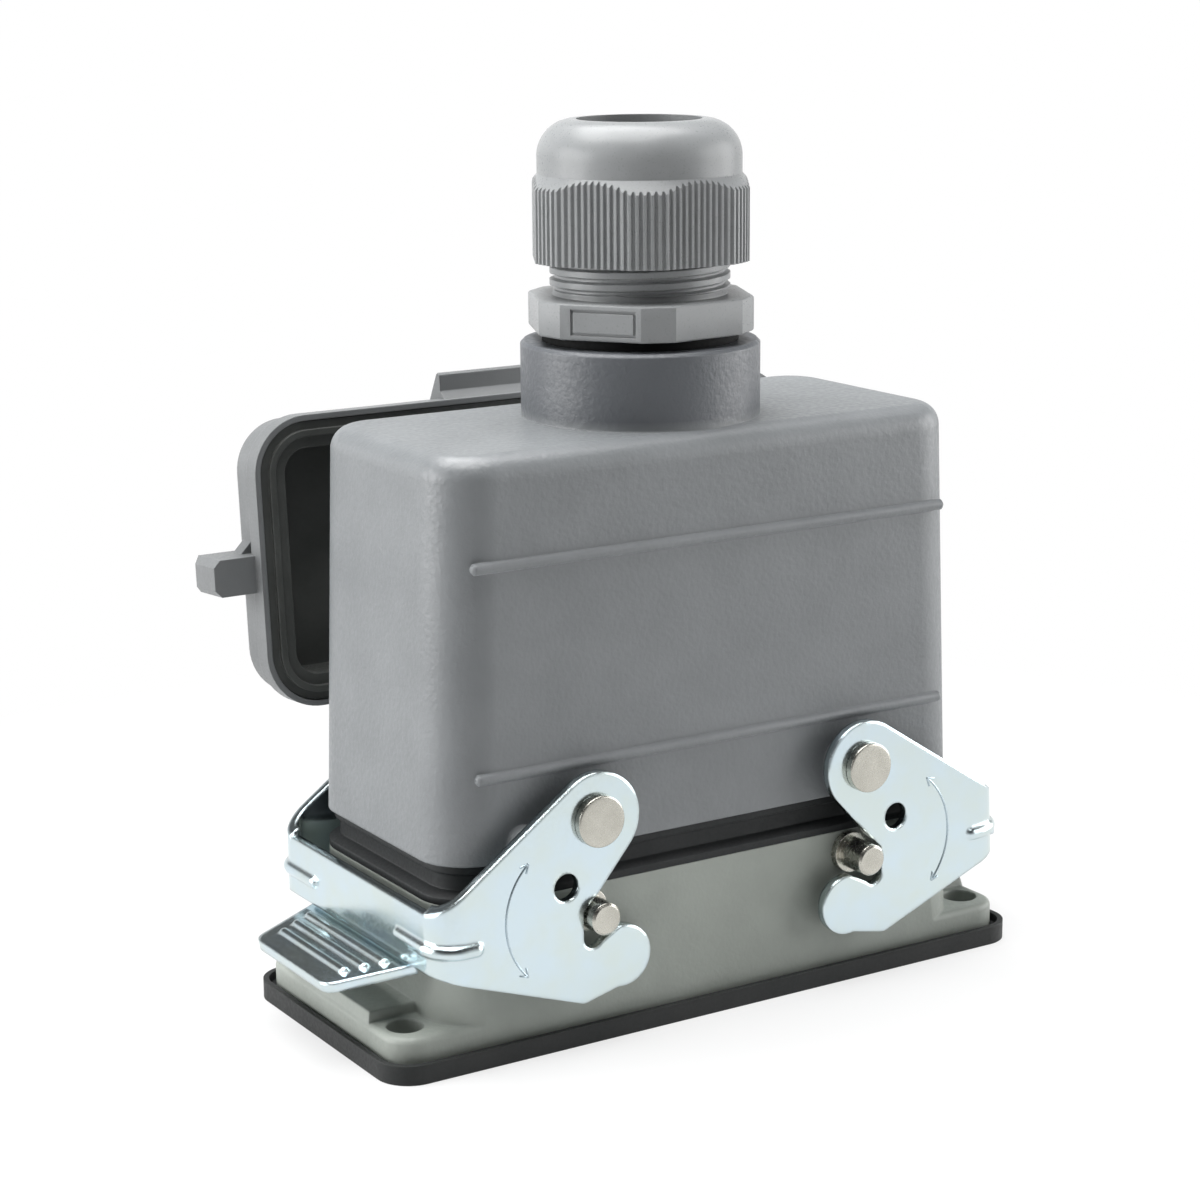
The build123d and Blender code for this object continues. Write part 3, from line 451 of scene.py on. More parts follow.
# Soft boxes at the left behind and at the right in front, and one above.
LAMPS = (
    SoftBox("left_box", (-535, 215, 140), 440, 4.1),
    SoftBox("right_box", (500, -230, 120), 520, 3.7),
    SoftBox("top_box", (-40, 70, 560), 520, 7.2),
)


@dataclass(frozen=True)
class Fade:
    """A brightness that passes from 1 to another value between two readings."""

    start: float
    stop: float
    end: float


@dataclass
class Studio:
    """The floor, the lamps and the camera at the fitted viewing angle, in millimetres.

    The fades are for what mirrors show: the ceiling by height, the wall in front by direction,
    and the floor in front by metres from the object.
    """

    eye: Vector = field(default_factory=lambda: Vector((-229.5425, -353.9367, 159.4999)))
    right: Vector = field(default_factory=lambda: Vector((0.84618318, -0.53283953, -0.00748767)))
    up: Vector = field(default_factory=lambda: Vector((0.12881967, 0.19089919, 0.97312023)))
    ahead: Vector = field(default_factory=lambda: Vector((0.51708754, 0.82440253, -0.2301759)))
    lens: float = 83.97
    floor: float = 3000.0
    sensor: float = 36.0
    fill_light: float = 0.06
    front: Vector = field(default_factory=lambda: Vector((-0.531, -0.847, 0.0)))
    ceiling: Fade = Fade(0.2, 0.38, 0.1)
    front_wall: Fade = Fade(0.3, 0.9, 0.3)
    front_floor: Fade = Fade(0.12, 0.3, 0.3)
    paper: str = "#DADADA"
    glow_near: float = 0.7
    glow_from: float = 0.05
    glow_to: float = 0.2

    def build(self) -> None:
        """Sets the world, floor, lamps and camera."""
        self._world()
        self._floor()
        for lamp in LAMPS:
            lamp.hang()
        self._camera()
        bpy.context.scene.view_settings.view_transform = "Standard"

    def _range(self, fade: Fade) -> dict[str, float]:
        """The settings of a range node that follows a fade from full brightness."""
        return {"From Min": fade.start, "From Max": fade.stop, "To Min": 1.0, "To Max": fade.end}

    def _seen_directly(self, tree: bpy.types.NodeTree) -> bpy.types.NodeSocket:
        """Adds a switch that is 1 for what the camera, a mirror or clear glass shows.

        Args:
            tree: the node tree to add it to.

        Returns:
            The switch's output socket.
        """
        path = add_node(tree, "ShaderNodeLightPath")
        first = add_node(
            tree, "ShaderNodeMath", {"operation": "MAXIMUM"},
            {0: path.outputs["Is Camera Ray"], 1: path.outputs["Is Glossy Ray"]},
        )
        return add_node(
            tree, "ShaderNodeMath", {"operation": "MAXIMUM"},
            {0: first.outputs[0], 1: path.outputs["Is Transmission Ray"]},
        ).outputs[0]

    def _world(self) -> None:
        """A soft world for light, seen as white; mirrors see a dim ceiling and front."""
        world = bpy.data.worlds.new("studio_world")
        bpy.context.scene.world = world
        world.use_nodes = True
        tree = world.node_tree
        tree.nodes.clear()
        soft = add_node(
            tree, "ShaderNodeBackground",
            {"Color": (1, 1, 1, 1), "Strength": self.fill_light},
        )
        way = add_node(tree, "ShaderNodeTexCoord").outputs["Generated"]
        height = add_node(tree, "ShaderNodeSeparateXYZ", {}, {0: way}).outputs["Z"]
        ceiling = add_node(
            tree, "ShaderNodeMapRange",
            self._range(self.ceiling), {"Value": height},
        )
        ahead = add_node(
            tree, "ShaderNodeVectorMath", {"operation": "DOT_PRODUCT", 1: self.front}, {0: way}
        ).outputs["Value"]
        dimmed = add_node(
            tree, "ShaderNodeMapRange",
            self._range(self.front_wall), {"Value": ahead},
        )
        shade = add_node(
            tree, "ShaderNodeMath", {"operation": "MULTIPLY"},
            {0: ceiling.outputs[0], 1: dimmed.outputs[0]},
        )
        mirrored = add_node(tree, "ShaderNodeLightPath").outputs["Is Glossy Ray"]
        seen = add_node(
            tree, "ShaderNodeMapRange", {"To Min": 1.0},
            {"Value": mirrored, "To Max": shade.outputs[0]},
        )
        walls = add_node(
            tree, "ShaderNodeBackground", {"Color": (1, 1, 1, 1)},
            {"Strength": seen.outputs[0]},
        )
        both = add_node(
            tree, "ShaderNodeMixShader", {},
            {0: self._seen_directly(tree), 1: soft.outputs[0], 2: walls.outputs[0]},
        )
        out = add_node(tree, "ShaderNodeOutputWorld")
        tree.links.new(both.outputs[0], out.inputs[0])

    def _floor(self) -> None:
        """A plain pale floor that keeps the shadow, fades to white, and mirrors dimmer in front."""
        bpy.ops.mesh.primitive_plane_add(size=self.floor * MM, location=(0, 0, -0.05 * MM))
        floor = bpy.context.object
        floor.name = "studio_floor"
        mat = bpy.data.materials.new("studio_floor_paper")
        mat.use_nodes = True
        tree = mat.node_tree
        tree.nodes.clear()
        paper = add_node(tree, "ShaderNodeBsdfDiffuse", {"Color": linear(self.paper)})
        place = add_node(tree, "ShaderNodeTexCoord").outputs["Object"]
        away = add_node(
            tree, "ShaderNodeVectorMath", {"operation": "LENGTH"}, {0: place}
        ).outputs["Value"]
        glow = add_node(
            tree, "ShaderNodeMapRange",
            {"From Min": self.glow_from, "From Max": self.glow_to, "To Min": self.glow_near},
            {"Value": away},
        )
        shown = add_node(
            tree, "ShaderNodeMath", {"operation": "MULTIPLY"},
            {0: self._seen_directly(tree), 1: glow.outputs[0]},
        )
        ahead = add_node(
            tree, "ShaderNodeVectorMath", {"operation": "DOT_PRODUCT", 1: self.front}, {0: place}
        ).outputs["Value"]
        mirrored = add_node(tree, "ShaderNodeLightPath").outputs["Is Glossy Ray"]
        dimmed = add_node(
            tree, "ShaderNodeMapRange",
            self._range(self.front_floor), {"Value": ahead},
        )
        strength = add_node(
            tree, "ShaderNodeMapRange", {"To Min": 1.0},
            {"Value": mirrored, "To Max": dimmed.outputs[0]},
        )
        white = add_node(
            tree, "ShaderNodeEmission", {"Color": (1, 1, 1, 1)}, {"Strength": strength.outputs[0]}
        )
        both = add_node(
            tree, "ShaderNodeMixShader", {},
            {0: shown.outputs[0], 1: paper.outputs[0], 2: white.outputs[0]},
        )
        out = add_node(tree, "ShaderNodeOutputMaterial")
        tree.links.new(both.outputs[0], out.inputs[0])
        floor.data.materials.append(mat)

    def _camera(self) -> None:
        """The camera at the fitted place, direction and lens."""
        data = bpy.data.cameras.new("camera")
        data.lens = self.lens
        data.sensor_width = self.sensor
        data.clip_start = 0.01
        data.clip_end = 20.0
        camera = bpy.data.objects.new("camera", data)
        bpy.context.scene.collection.objects.link(camera)
        turn = Matrix((self.right, self.up, -self.ahead)).transposed().to_4x4()
        camera.matrix_world = Matrix.Translation(self.eye * MM) @ turn
        bpy.context.scene.camera = camera


# The bench: what shapes a piece by hand.

# How near a place counts as the same, and how near the axis a cap's middle lies, in millimetres.
NEAR = 0.01
CENTRAL = 0.5

# How closely a direction follows an axis to count as along it, and below what it lies across.
ALONG = 0.99
ACROSS = 0.5


def only(piece: bpy.types.Object) -> None:
    """Selects one object alone and makes it active.

    Args:
        piece: the object.
    """
    bpy.ops.object.select_all(action="DESELECT")
    piece.select_set(True)
    bpy.context.view_layer.objects.active = piece


@contextmanager
def editing(piece: bpy.types.Object) -> Iterator[None]:
    """Holds an object in edit mode.

    Args:
        piece: the mesh object to edit.

    Yields:
        Nothing; the object is in edit mode inside the block.
    """
    only(piece)
    bpy.ops.object.mode_set(mode="EDIT")
    try:
        yield
    finally:
        bpy.ops.object.mode_set(mode="OBJECT")


def settle(name: str) -> bpy.types.Object:
    """Names the active new primitive and puts its place, turn and scale into its mesh.

    Args:
        name: the piece's name.

    Returns:
        The object, standing at the origin.
    """
    piece = bpy.context.object
    piece.name = name
    only(piece)
    bpy.ops.object.transform_apply(location=True, rotation=True, scale=True)
    return piece


def pick_faces(piece: bpy.types.Object, test: Callable[[Vector, Vector], bool]) -> None:
    """Selects the faces that pass a test, in edit mode.

    Args:
        piece: the object in edit mode.
        test: takes a face's centre in millimetres and its normal.
    """
    bpy.ops.mesh.select_mode(type="FACE")
    bpy.ops.mesh.select_all(action="DESELECT")
    shape = bmesh.from_edit_mesh(piece.data)
    shape.normal_update()
    for face in shape.faces:
        if test(face.calc_center_median() / MM, face.normal):
            face.select_set(True)
    bmesh.update_edit_mesh(piece.data)


def pick_edges(piece: bpy.types.Object, test: Callable[[Vector, Vector], bool]) -> None:
    """Selects the edges that pass a test, in edit mode.

    Args:
        piece: the object in edit mode.
        test: takes an edge's middle in millimetres and its unit direction.
    """
    bpy.ops.mesh.select_mode(type="EDGE")
    bpy.ops.mesh.select_all(action="DESELECT")
    shape = bmesh.from_edit_mesh(piece.data)
    for edge in shape.edges:
        one, two = (v.co / MM for v in edge.verts)
        if test((one + two) / 2, (two - one).normalized()):
            edge.select_set(True)
    bmesh.update_edit_mesh(piece.data)


def cut_level(height: float) -> None:
    """Cuts a ring of edges round the whole mesh at a height, in edit mode.

    Args:
        height: the ring's Z in millimetres.
    """
    bpy.ops.mesh.select_all(action="SELECT")
    bpy.ops.mesh.bisect(plane_co=(0, 0, height * MM), plane_no=(0, 0, 1), use_fill=False)


def slide(offset: Sequence[float]) -> None:
    """Moves what is selected by an offset in millimetres."""
    bpy.ops.transform.translate(value=tuple(Vector(offset) * MM))


def extrude(offset: Sequence[float]) -> None:
    """Extrudes what is selected by an offset in millimetres."""
    bpy.ops.mesh.extrude_region_move(
        TRANSFORM_OT_translate={"value": tuple(Vector(offset) * MM)}
    )


def use_modifier(piece: bpy.types.Object, kind: str, **settings: object) -> None:
    """Adds one modifier with its settings and applies it.

    Args:
        piece: the object to change.
        kind: the modifier's type name.
        settings: its properties.
    """
    only(piece)
    modifier = piece.modifiers.new(kind.lower(), kind)
    for key, value in settings.items():
        setattr(modifier, key, value)
    bpy.ops.object.modifier_apply(modifier=modifier.name)


def combine(piece: bpy.types.Object, other: bpy.types.Object, joining: Joining) -> None:
    """Joins a piece with another or cuts it by the other, which is then removed.

    Args:
        piece: the object that stays.
        other: the object that is used up.
        joining: whether the other is added or taken away.
    """
    use_modifier(piece, "BOOLEAN", operation=joining.value, solver="EXACT", object=other)
    bpy.data.objects.remove(other)


def turned(
    piece: bpy.types.Object,
    angle: float,
    axis: Axis = Axis.Z,
    about: Sequence[float] = (0, 0, 0),
) -> bpy.types.Object:
    """Turns a piece's mesh about an axis through a point.

    Args:
        piece: the object to turn.
        angle: the turn in degrees.
        axis: the axis to turn about.
        about: a point on the axis, in millimetres.

    Returns:
        The same object.
    """
    centre = Matrix.Translation(Vector(about) * MM)
    turn = Matrix.Rotation(math.radians(angle), 4, axis.value)
    piece.data.transform(centre @ turn @ centre.inverted())
    return piece


def copy_of(piece: bpy.types.Object, name: str) -> bpy.types.Object:
    """Copies a piece with a mesh of its own.

    Args:
        piece: the object to copy.
        name: the copy's name.

    Returns:
        The copy.
    """
    twin = bpy.data.objects.new(name, piece.data.copy())
    bpy.context.scene.collection.objects.link(twin)
    return twin


def fused(name: str, *pieces: bpy.types.Object) -> bpy.types.Object:
    """Joins several objects into the first one.

    Args:
        name: the joined object's name.
        pieces: the objects, of which the first stays.

    Returns:
        The joined object.
    """
    only(pieces[0])
    for piece in pieces[1:]:
        piece.select_set(True)
    bpy.ops.object.join()
    pieces[0].name = name
    return pieces[0]


def outward(piece: bpy.types.Object) -> None:
    """Merges doubles and points every face outwards.

    Args:
        piece: the closed mesh object.
    """
    with editing(piece):
        bpy.ops.mesh.select_all(action="SELECT")
        bpy.ops.mesh.remove_doubles(threshold=0.002 * MM)
        bpy.ops.mesh.normals_make_consistent(inside=False)


def complete(
    piece: bpy.types.Object, body: Body, finish: Finish, *nodes: str, sharp: float = 35.0
) -> bpy.types.Object:
    """Smooths a new piece, dresses it and lets it ride on its body.

    Args:
        piece: the finished mesh object.
        body: the CAD body that it rides on.
        finish: its surface finish.
        nodes: the CAD nodes that it stands for.
        sharp: edges turned by more than this many degrees stay crisp.

    Returns:
        The same object.
    """
    only(piece)
    bpy.ops.object.shade_smooth_by_angle(angle=math.radians(sharp))
    piece.data.materials.clear()
    piece.data.materials.append(finish.material())
    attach(piece, body.value)
    if nodes:
        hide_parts(*nodes)
    log.info("built %s on %s, %d faces", piece.name, body.value, len(piece.data.polygons))
    return piece


def ring_top(piece: bpy.types.Object, height: float, inset: float, drop: float) -> None:
    """Sinks the flat cap at a height: insets it and extrudes the middle down.

    Args:
        piece: the object in edit mode.
        height: the cap's Z in millimetres.
        inset: how far in the sunk part starts.
        drop: how far the middle goes down, negative for up.
    """
    pick_faces(
        piece,
        lambda c, n: abs(c.z - height) < NEAR and abs(n.z) > ALONG and c.xy.length < CENTRAL,
    )
    bpy.ops.mesh.inset(thickness=inset * MM)
    extrude((0, 0, -drop))


# The seal under the hood.


@dataclass
class HoodSeal:
    """The profile seal between housing and hood: two lips and a waist. Sizes in millimetres."""

    length: float = 92.6
    width: float = 41.2
    corner: float = 7.0
    low: float = 24.0
    high: float = 29.95
    foot_reach: float = 0.93
    foot: float = 1.1
    waist: float = 0.8
    lip: float = 1.4
    foot_slope: float = 0.5
    lip_slope: float = 0.3
    wall: float = 2.3
    edge: float = 0.18
    corner_segments: int = 12

    def build(self) -> None:
        """Builds and dresses the seal."""
        middle = (self.low + self.high) / 2
        bpy.ops.mesh.primitive_cube_add(size=MM, location=(0, 0, middle * MM))
        bpy.context.object.scale = (self.length, self.width, self.high - self.low)
        seal = settle("hood_profile_seal")
        with editing(seal):
            pick_edges(seal, lambda m, d: abs(d.z) > ALONG)
            bpy.ops.mesh.bevel(
                offset=self.corner * MM, segments=self.corner_segments, affect="EDGES"
            )
            foot_top, lip_bottom = self.low + self.foot, self.high - self.lip
            waist_low = self.low + self.lip + self.foot_slope
            waist_high = lip_bottom - self.lip_slope
            for level in (foot_top, waist_low, waist_high, lip_bottom):
                cut_level(level)
            self._reach(seal, waist_low, waist_high, -self.waist)
            self._reach(seal, self.low, foot_top, self.foot_reach)
            pick_faces(seal, lambda c, n: abs(n.z) > ALONG and c.xy.length < CENTRAL)
            bpy.ops.mesh.delete(type="ONLY_FACE")
        use_modifier(
            seal, "SOLIDIFY", thickness=self.wall * MM, offset=-1.0, use_even_offset=True
        )
        use_modifier(
            seal, "BEVEL", width=self.edge * MM, segments=3, limit_method="ANGLE",
            angle_limit=math.radians(40),
        )
        complete(seal, Body.HOUSING, SHADED_SEAL_RUBBER, "housing_seal", sharp=50.0)

    def _reach(self, seal: bpy.types.Object, low: float, high: float, reach: float) -> None:
        """Moves the wall between two heights in or out by its corner normals.

        Args:
            seal: the seal in edit mode.
            low: the lowest height moved, in millimetres.
            high: the highest height moved, in millimetres.
            reach: how far out, negative for in.
        """
        shape = bmesh.from_edit_mesh(seal.data)
        side_x = self.length / 2 - self.corner
        side_y = self.width / 2 - self.corner
        for vertex in shape.verts:
            if (low - NEAR) * MM <= vertex.co.z <= (high + NEAR) * MM:
                x, y = vertex.co.x / MM, vertex.co.y / MM
                away = Vector((x - max(-side_x, min(side_x, x)), y - max(-side_y, min(side_y, y))))
                if away.length > 0:
                    away = away.normalized() * reach * MM
                    vertex.co.x += away.x
                    vertex.co.y += away.y
        bmesh.update_edit_mesh(seal.data)


# The cable gland.


@dataclass
class Gland:
    """The cable gland's body: tail, cut hexagon and threaded neck. Sizes in millimetres."""

    seat: float = 102.0
    hex_height: float = 5.4
    flats: float = 32.5
    corner_cut: float = 17.27
    turn: float = 6.0
    edge: float = 0.45
    frame_length: float = 10.3
    frame_height: float = 3.8
    frame_line: float = 0.42
    frame_depth: float = 0.28
    frame_shift: float = 0.45
    frame_margin: float = 0.2
    thread_radius: float = 13.64
    thread_depth: float = 0.8
    thread_start: float = 0.2
    thread_rings: int = 79
    pitch: float = 1.8
    crest_share: float = 0.42
    lead_in: float = 0.6
    run_in: float = 1.4
    run_out: float = 0.8
    rim_groove: float = 0.05
    relief: float = 0.55
    relief_height: float = 0.7
    hidden_ring: float = 1.2
    neck_top: float = 118.0
    tail_bottom: float = 87.6
    cage_seat: float = 110.9
    cage_radius: float = 12.2
    bore: float = 9.6
    hexagon_bore: float = 12.0
    sides: int = 96

    def build(self) -> None:
        """Builds and dresses the gland body."""
        body = self._threaded_tube()
        combine(body, self._hexagon(), Joining.UNION)
        outward(body)
        complete(body, Body.HOUSING, GLAND_PLASTIC, "gland_body", sharp=28.0)

    def _threaded_tube(self) -> bpy.types.Object:
        """The tail and neck as one tube, with a moulded thread round the neck.

        Returns:
            The tube.
        """
        height = self.neck_top - self.tail_bottom
        bpy.ops.mesh.primitive_cylinder_add(
            vertices=self.sides,
            radius=self.thread_radius * MM,
            depth=height * MM,
            location=(0, 0, (self.neck_top + self.tail_bottom) / 2 * MM),
        )
        tube = settle("gland_body_moulding")
        start = self.seat + self.hex_height + self.thread_start
        with editing(tube):
            cut_level(start - self.hidden_ring)
            cut_level(start)
            pick_edges(tube, lambda m, d: abs(d.z) > ALONG and m.z > start)
            bpy.ops.mesh.subdivide(number_cuts=self.thread_rings)
            self._sink_caps(tube)
        self._cut_thread(tube, start)
        return tube

    def _sink_caps(self, tube: bpy.types.Object) -> None:
        """Opens the tube from end to end, with the cage's seat inside the neck.

        Args:
            tube: the tube in edit mode.
        """
        rim = self.thread_radius - self.cage_radius
        ring_top(tube, self.neck_top, rim, self.neck_top - self.cage_seat)
        bpy.ops.mesh.inset(thickness=(self.cage_radius - self.bore) * MM)
        extrude((0, 0, self.tail_bottom - self.cage_seat))
        bpy.ops.mesh.delete(type="FACE")
        pick_faces(
            tube,
            lambda c, n: abs(c.z - self.tail_bottom) < NEAR
            and n.z < -ALONG
            and c.xy.length < CENTRAL,
        )
        bpy.ops.mesh.inset(thickness=(self.thread_radius - self.bore) * MM)
        bpy.ops.mesh.delete(type="FACE")
        bpy.ops.mesh.select_all(action="SELECT")
        bpy.ops.mesh.remove_doubles(threshold=NEAR * MM)

    def _cut_thread(self, tube: bpy.types.Object, start: float) -> None:
        """Draws the neck's outer points in along a helix, with round crests and a run-out.

        Args:
            tube: the tube.
            start: the height in millimetres at which the thread begins.
        """
        for vertex in tube.data.vertices:
            x, y, z = vertex.co / MM
            radius = math.hypot(x, y)
            if radius < self.thread_radius - NEAR or z < start - NEAR:
                continue
            turn = math.atan2(y, x) / math.tau
            wave = 0.5 - 0.5 * math.cos(math.tau * ((z - start) / self.pitch - turn))
            groove = min(1.0, max(0.0, (0.5 - wave) / self.crest_share))
            rise = (z - start + self.lead_in) / self.run_in
            fall = (self.neck_top - z) / self.run_out + self.rim_groove
            fade = min(1.0, rise, fall)
            groove = groove * groove * (3 - 2 * groove)
            relief = self.relief if z < start + self.relief_height else 0.0
            pull = (radius - self.thread_depth * max(groove * fade, relief)) / radius
            vertex.co.x *= pull
            vertex.co.y *= pull

    def _hexagon(self) -> bpy.types.Object:
        """The hexagon with cut corners, round rims and a sunk frame on one flat.

        Returns:
            The hexagon, open in the middle.
        """
        circle = self.flats / 2 / math.cos(math.radians(30))
        middle = self.seat + self.hex_height / 2
        bpy.ops.mesh.primitive_cylinder_add(
            vertices=6,
            radius=circle * MM,
            depth=self.hex_height * MM,
            location=(0, 0, middle * MM),
            rotation=(0, 0, math.radians(30)),
        )
        hexagon = settle("gland_hexagon")
        with editing(hexagon):
            pick_edges(hexagon, lambda m, d: abs(d.z) > ALONG)
            cut = 2 * (circle - self.corner_cut)
            bpy.ops.mesh.bevel(offset=cut * MM, segments=1, affect="EDGES")
            pick_edges(hexagon, lambda m, d: abs(d.z) < ACROSS)
            bpy.ops.mesh.bevel(offset=self.edge * MM, segments=3, affect="EDGES")
            self._sink_frame(hexagon, middle)
        bpy.ops.mesh.primitive_cylinder_add(
            vertices=self.sides,
            radius=self.hexagon_bore * MM,
            depth=2 * self.hex_height * MM,
            location=(0, 0, middle * MM),
        )
        combine(hexagon, settle("gland_hexagon_bore"), Joining.DIFFERENCE)
        return turned(hexagon, self.turn - 60)

    def _sink_frame(self, hexagon: bpy.types.Object, middle: float) -> None:
        """Sinks a plain rectangular frame line into the flat that faces the front.

        Args:
            hexagon: the hexagon in edit mode.
            middle: the height of its middle.
        """
        face = -self.flats / 2
        pick_faces(hexagon, lambda c, n: n.y < -ALONG and abs(c.z - middle) < CENTRAL)
        bpy.ops.mesh.inset(thickness=self.frame_margin * MM)
        self._size_selected(hexagon, self.frame_length, self.frame_height)
        bpy.ops.mesh.inset(thickness=self.frame_line * MM)
        inner_x = self.frame_length / 2 - self.frame_line
        inner_z = self.frame_height / 2 - self.frame_line

        def on_line(centre: Vector, normal: Vector) -> bool:
            """Whether a face belongs to the line between the frame's two rectangles."""
            x, z = abs(centre.x - self.frame_shift), abs(centre.z - middle)
            on_flat = normal.y < -ALONG and abs(centre.y - face) < NEAR
            inside = x < self.frame_length / 2 and z < self.frame_height / 2
            return on_flat and inside and (x > inner_x or z > inner_z)

        pick_faces(hexagon, on_line)
        extrude((0, self.frame_depth, 0))

    def _size_selected(self, piece: bpy.types.Object, length: float, height: float) -> None:
        """Gives the selected upright face an exact length and height about its middle.

        Args:
            piece: the object in edit mode.
            length: the new length along X.
            height: the new height along Z.
        """
        shape = bmesh.from_edit_mesh(piece.data)
        corners = [v for v in shape.verts if v.select]
        centre = sum((v.co for v in corners), Vector()) / len(corners)
        for vertex in corners:
            aside = math.copysign(length / 2 * MM, vertex.co.x - centre.x)
            vertex.co.x = self.frame_shift * MM + aside
            vertex.co.z = centre.z + math.copysign(height / 2 * MM, vertex.co.z - centre.z)
        bmesh.update_edit_mesh(piece.data)


# The levers' rivets and marks.


@dataclass
class Rivets:
    """The four shoulder rivets that the levers turn on. Sizes in millimetres."""

    x: float = 24.4
    z: float = 35.25
    shank: float = 2.95
    head: float = 3.9
    head_start: float = 25.9
    head_end: float = 27.1
    inner_end: float = 17.7
    edge: float = 0.28
    edge_segments: int = 4
    dome: float = 0.06
    dome_steps: tuple[tuple[float, float], ...] = ((0.5, 0.5), (1.0, 0.35), (1.0, 0.15))
    cap_band: float = 0.12
    sides: int = 72

    def build(self) -> None:
        """Builds one rivet, copies it to the other three places and joins them."""
        first = self._rivet()
        back = turned(copy_of(first, "rivet_back"), 180)
        pair = fused("rivet_pair", first, back)
        other = copy_of(pair, "rivet_other")
        other.data.transform(Matrix.Scale(-1, 4, Vector((1, 0, 0))))
        rivets = fused("lever_rivet_heads", pair, other)
        outward(rivets)
        complete(rivets, Body.HOUSING, NICKEL, "lever_rivets", sharp=30.0)

    def _rivet(self) -> bpy.types.Object:
        """One rivet at the left front, head outwards.

        Returns:
            The rivet.
        """
        middle = -(self.head_start + self.head_end) / 2
        bpy.ops.mesh.primitive_cylinder_add(
            vertices=self.sides,
            radius=self.head * MM,
            depth=(self.head_end - self.head_start) * MM,
            location=(-self.x * MM, middle * MM, self.z * MM),
            rotation=(math.radians(90), 0, 0),
        )
        rivet = settle("rivet_front")
        with editing(rivet):
            self._pick_cap(rivet, -self.head_start, 1)
            bpy.ops.mesh.inset(thickness=(self.head - self.shank) * MM)
            extrude((0, self.head_start - self.inner_end, 0))
            self._pick_cap(rivet, -self.head_end, -1)
            bpy.ops.mesh.bevel(
                offset=self.edge * MM, segments=self.edge_segments, affect="EDGES"
            )
            self._pick_cap(rivet, -self.head_end, -1)
            for step, rise in self.dome_steps:
                bpy.ops.mesh.inset(thickness=step * MM)
                slide((0, -self.dome * rise, 0))
        return rivet

    def _pick_cap(self, rivet: bpy.types.Object, y: float, side: int) -> None:
        """Selects the flat cap at a place along Y that faces one side."""
        pick_faces(rivet, lambda c, n: abs(c.y - y) < self.cap_band and n.y * side > ALONG)


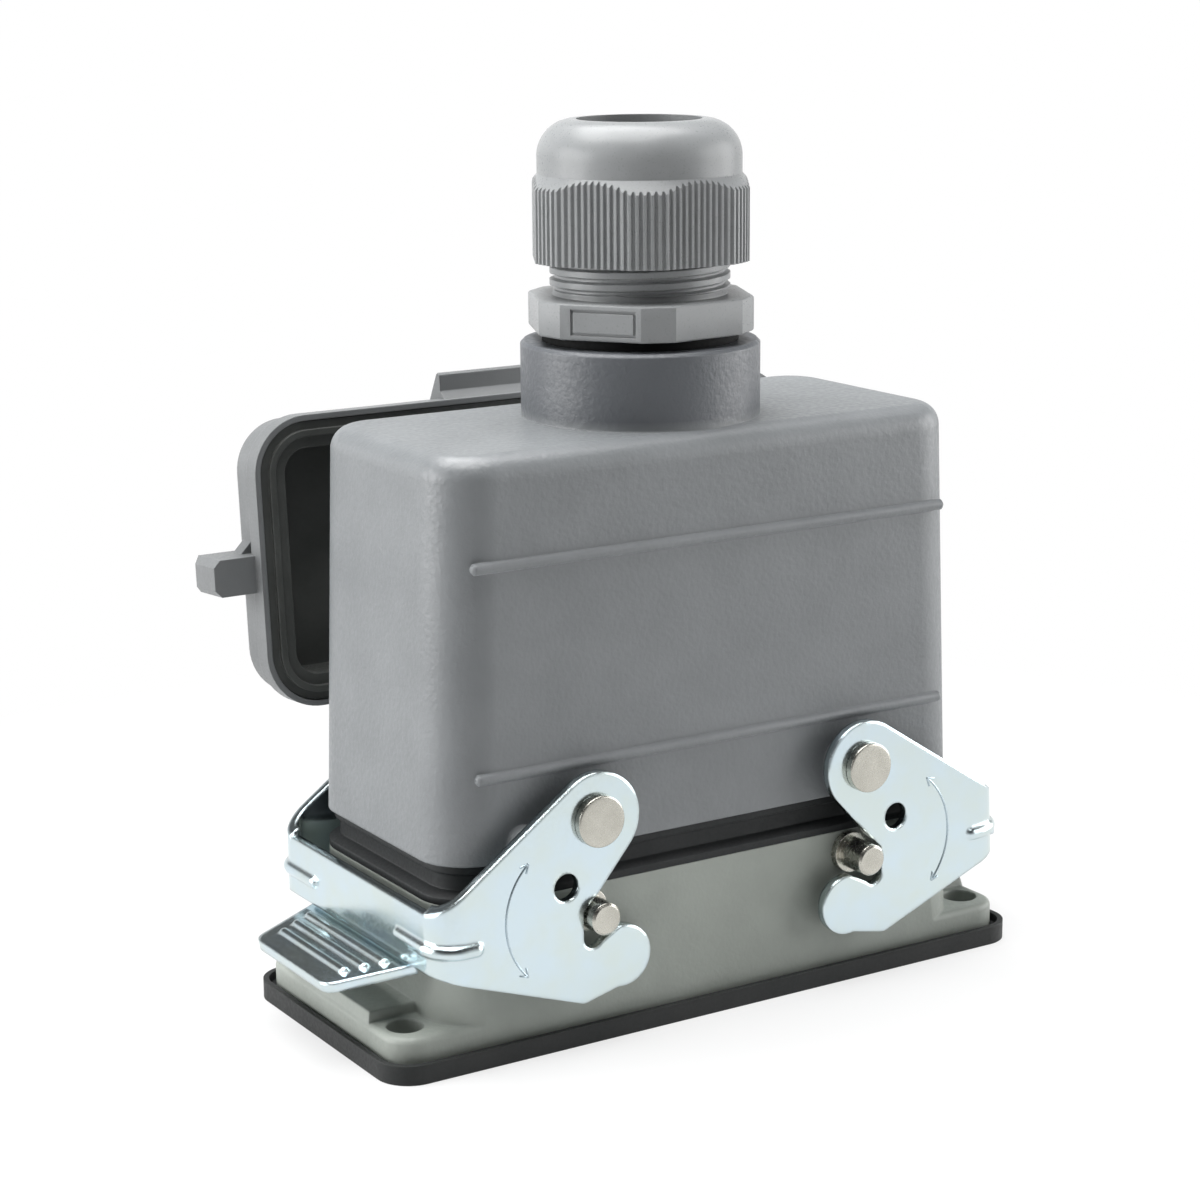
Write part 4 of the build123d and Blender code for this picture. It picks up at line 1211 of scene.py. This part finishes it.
@dataclass
class LeverMarks:
    """The curved double arrow stamped on each plate of the two levers. Sizes in millimetres."""

    pivot_x: float = 24.4
    pivot_z: float = 35.25
    plate: float = 25.8
    centre_u: float = -3.9
    centre_w: float = -13.2
    radius: float = 11.7
    start: float = 132.0
    end: float = 226.0
    line: float = 0.16
    barb: float = 1.5
    lean: float = 30.0
    aim_step: float = 5.0
    round_share: float = 0.45
    ajar: float = 3.0
    sides: int = 8
    steps: int = 40

    def build(self) -> None:
        """Builds the left front mark and copies it to the other three plates."""
        front = self._mark()
        back = copy_of(front, "mark_back")
        back.data.transform(Matrix.Scale(-1, 4, Vector((0, 1, 0))))
        left = fused("left_lever_marks", front, back)
        outward(left)
        right = turned(copy_of(left, "right_lever_marks"), 180)
        turned(right, -self.ajar, Axis.Y, (self.pivot_x, 0, self.pivot_z))
        complete(left, Body.LEFT_YOKE, ZINC_MARK)
        complete(right, Body.RIGHT_YOKE, ZINC_MARK)

    def _point(self, angle: float, radius: float) -> Vector:
        """A point of the arc in the left front plate, in millimetres."""
        turn = math.radians(angle)
        return Vector(
            (
                -self.pivot_x + self.centre_u + radius * math.cos(turn),
                -self.plate,
                self.pivot_z + self.centre_w + radius * math.sin(turn),
            )
        )

    def _mark(self) -> bpy.types.Object:
        """The arc and its four barbs on the left front plate.

        Returns:
            The mark.
        """
        middle = self._point(self.start, self.radius)
        bpy.ops.mesh.primitive_circle_add(
            vertices=self.sides,
            radius=self.line * MM,
            fill_type="NGON",
            location=tuple(middle * MM),
        )
        arc = settle("mark_arc")
        turned(arc, -self.start, Axis.Y, tuple(middle))
        centre = self._point(0, 0)
        with editing(arc):
            bpy.ops.mesh.select_all(action="SELECT")
            bpy.ops.mesh.spin(
                steps=self.steps,
                angle=math.radians(self.end - self.start),
                center=tuple(centre * MM),
                axis=(0, 1, 0),
            )
        pieces = [arc]
        for angle, way in ((self.start, 1), (self.end, -1)):
            for lean in (-self.lean, self.lean):
                pieces.append(self._barb(angle, way, lean))
        return fused("mark_front", *pieces)

    def _barb(self, angle: float, way: int, lean: float) -> bpy.types.Object:
        """One stroke of an arrow head.

        Args:
            angle: where on the arc its tip is, in degrees.
            way: 1 if the stroke runs on to larger angles, -1 if back.
            lean: its lean from the arc, in degrees.

        Returns:
            The stroke.
        """
        tip = self._point(angle, self.radius)
        along = self._point(angle + way * self.aim_step, self.radius) - tip
        along = Matrix.Rotation(math.radians(lean), 3, "Y") @ along.normalized()
        bpy.ops.mesh.primitive_cylinder_add(
            vertices=self.sides,
            radius=self.line * MM,
            depth=self.barb * MM,
            location=tuple((tip + along * self.barb / 2) * MM),
            rotation=along.to_track_quat("Z", "Y").to_euler(),
        )
        stroke = settle("mark_barb")
        with editing(stroke):
            pick_faces(stroke, lambda c, n: abs(n.dot(along)) > ALONG)
            bpy.ops.mesh.bevel(
                offset=self.line * self.round_share * MM, segments=2, affect="EDGES"
            )
        return stroke


# The CAD nodes that are carried over.


@dataclass
class Carried:
    """CAD nodes whose shape is right, dressed in a better finish."""

    finishes: dict[str, Finish] = field(
        default_factory=lambda: {
            "flange_gasket": GASKET_RUBBER,
            "base_housing": BASE_COAT,
            "locking_pins": NICKEL,
            "socket_insert": INSERT_PLASTIC,
            "socket_contacts": CONTACT_METAL,
            "socket_terminal_screws": ZINC,
            "socket_insert_screws": ZINC,
            "socket_earth_plates": ZINC,
            "hood_shell": HOOD_COAT,
            "pin_insert": INSERT_PLASTIC,
            "contact_pins": CONTACT_METAL,
            "pin_terminal_screws": ZINC,
            "pin_insert_screws": ZINC,
            "pin_earth_plates": ZINC,
            "cover_hinge_pin": NICKEL,
            "gland_washer": WASHER_RUBBER_IN_PAINTED_SHADE,
            "left_lever": ZINC,
            "right_lever": ZINC,
            "cover_shell": COVER_PLASTIC,
            "cover_seal": FLAP_RUBBER,
            "gland_cage": GLAND_PLASTIC,
            "gland_seal": SHADED_SEAL_RUBBER,
            "gland_nut": GLAND_PLASTIC,
        }
    )

    def dress(self) -> None:
        """Puts the finish into every material slot of each CAD node."""
        for name, finish in self.finishes.items():
            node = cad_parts[name]
            mat = finish.material()
            if not node.data.materials:
                node.data.materials.append(mat)
            for index in range(len(node.data.materials)):
                node.data.materials[index] = mat
            log.info("dressed %s in %s", name, finish.name)


def main() -> None:
    """Builds the studio and the connector, and reports each piece."""
    logging.basicConfig(level=logging.INFO, format="%(name)s: %(message)s")
    Studio().build()
    Carried().dress()
    HoodSeal().build()
    Gland().build()
    Rivets().build()
    LeverMarks().build()


if __name__ == "__main__":
    main()
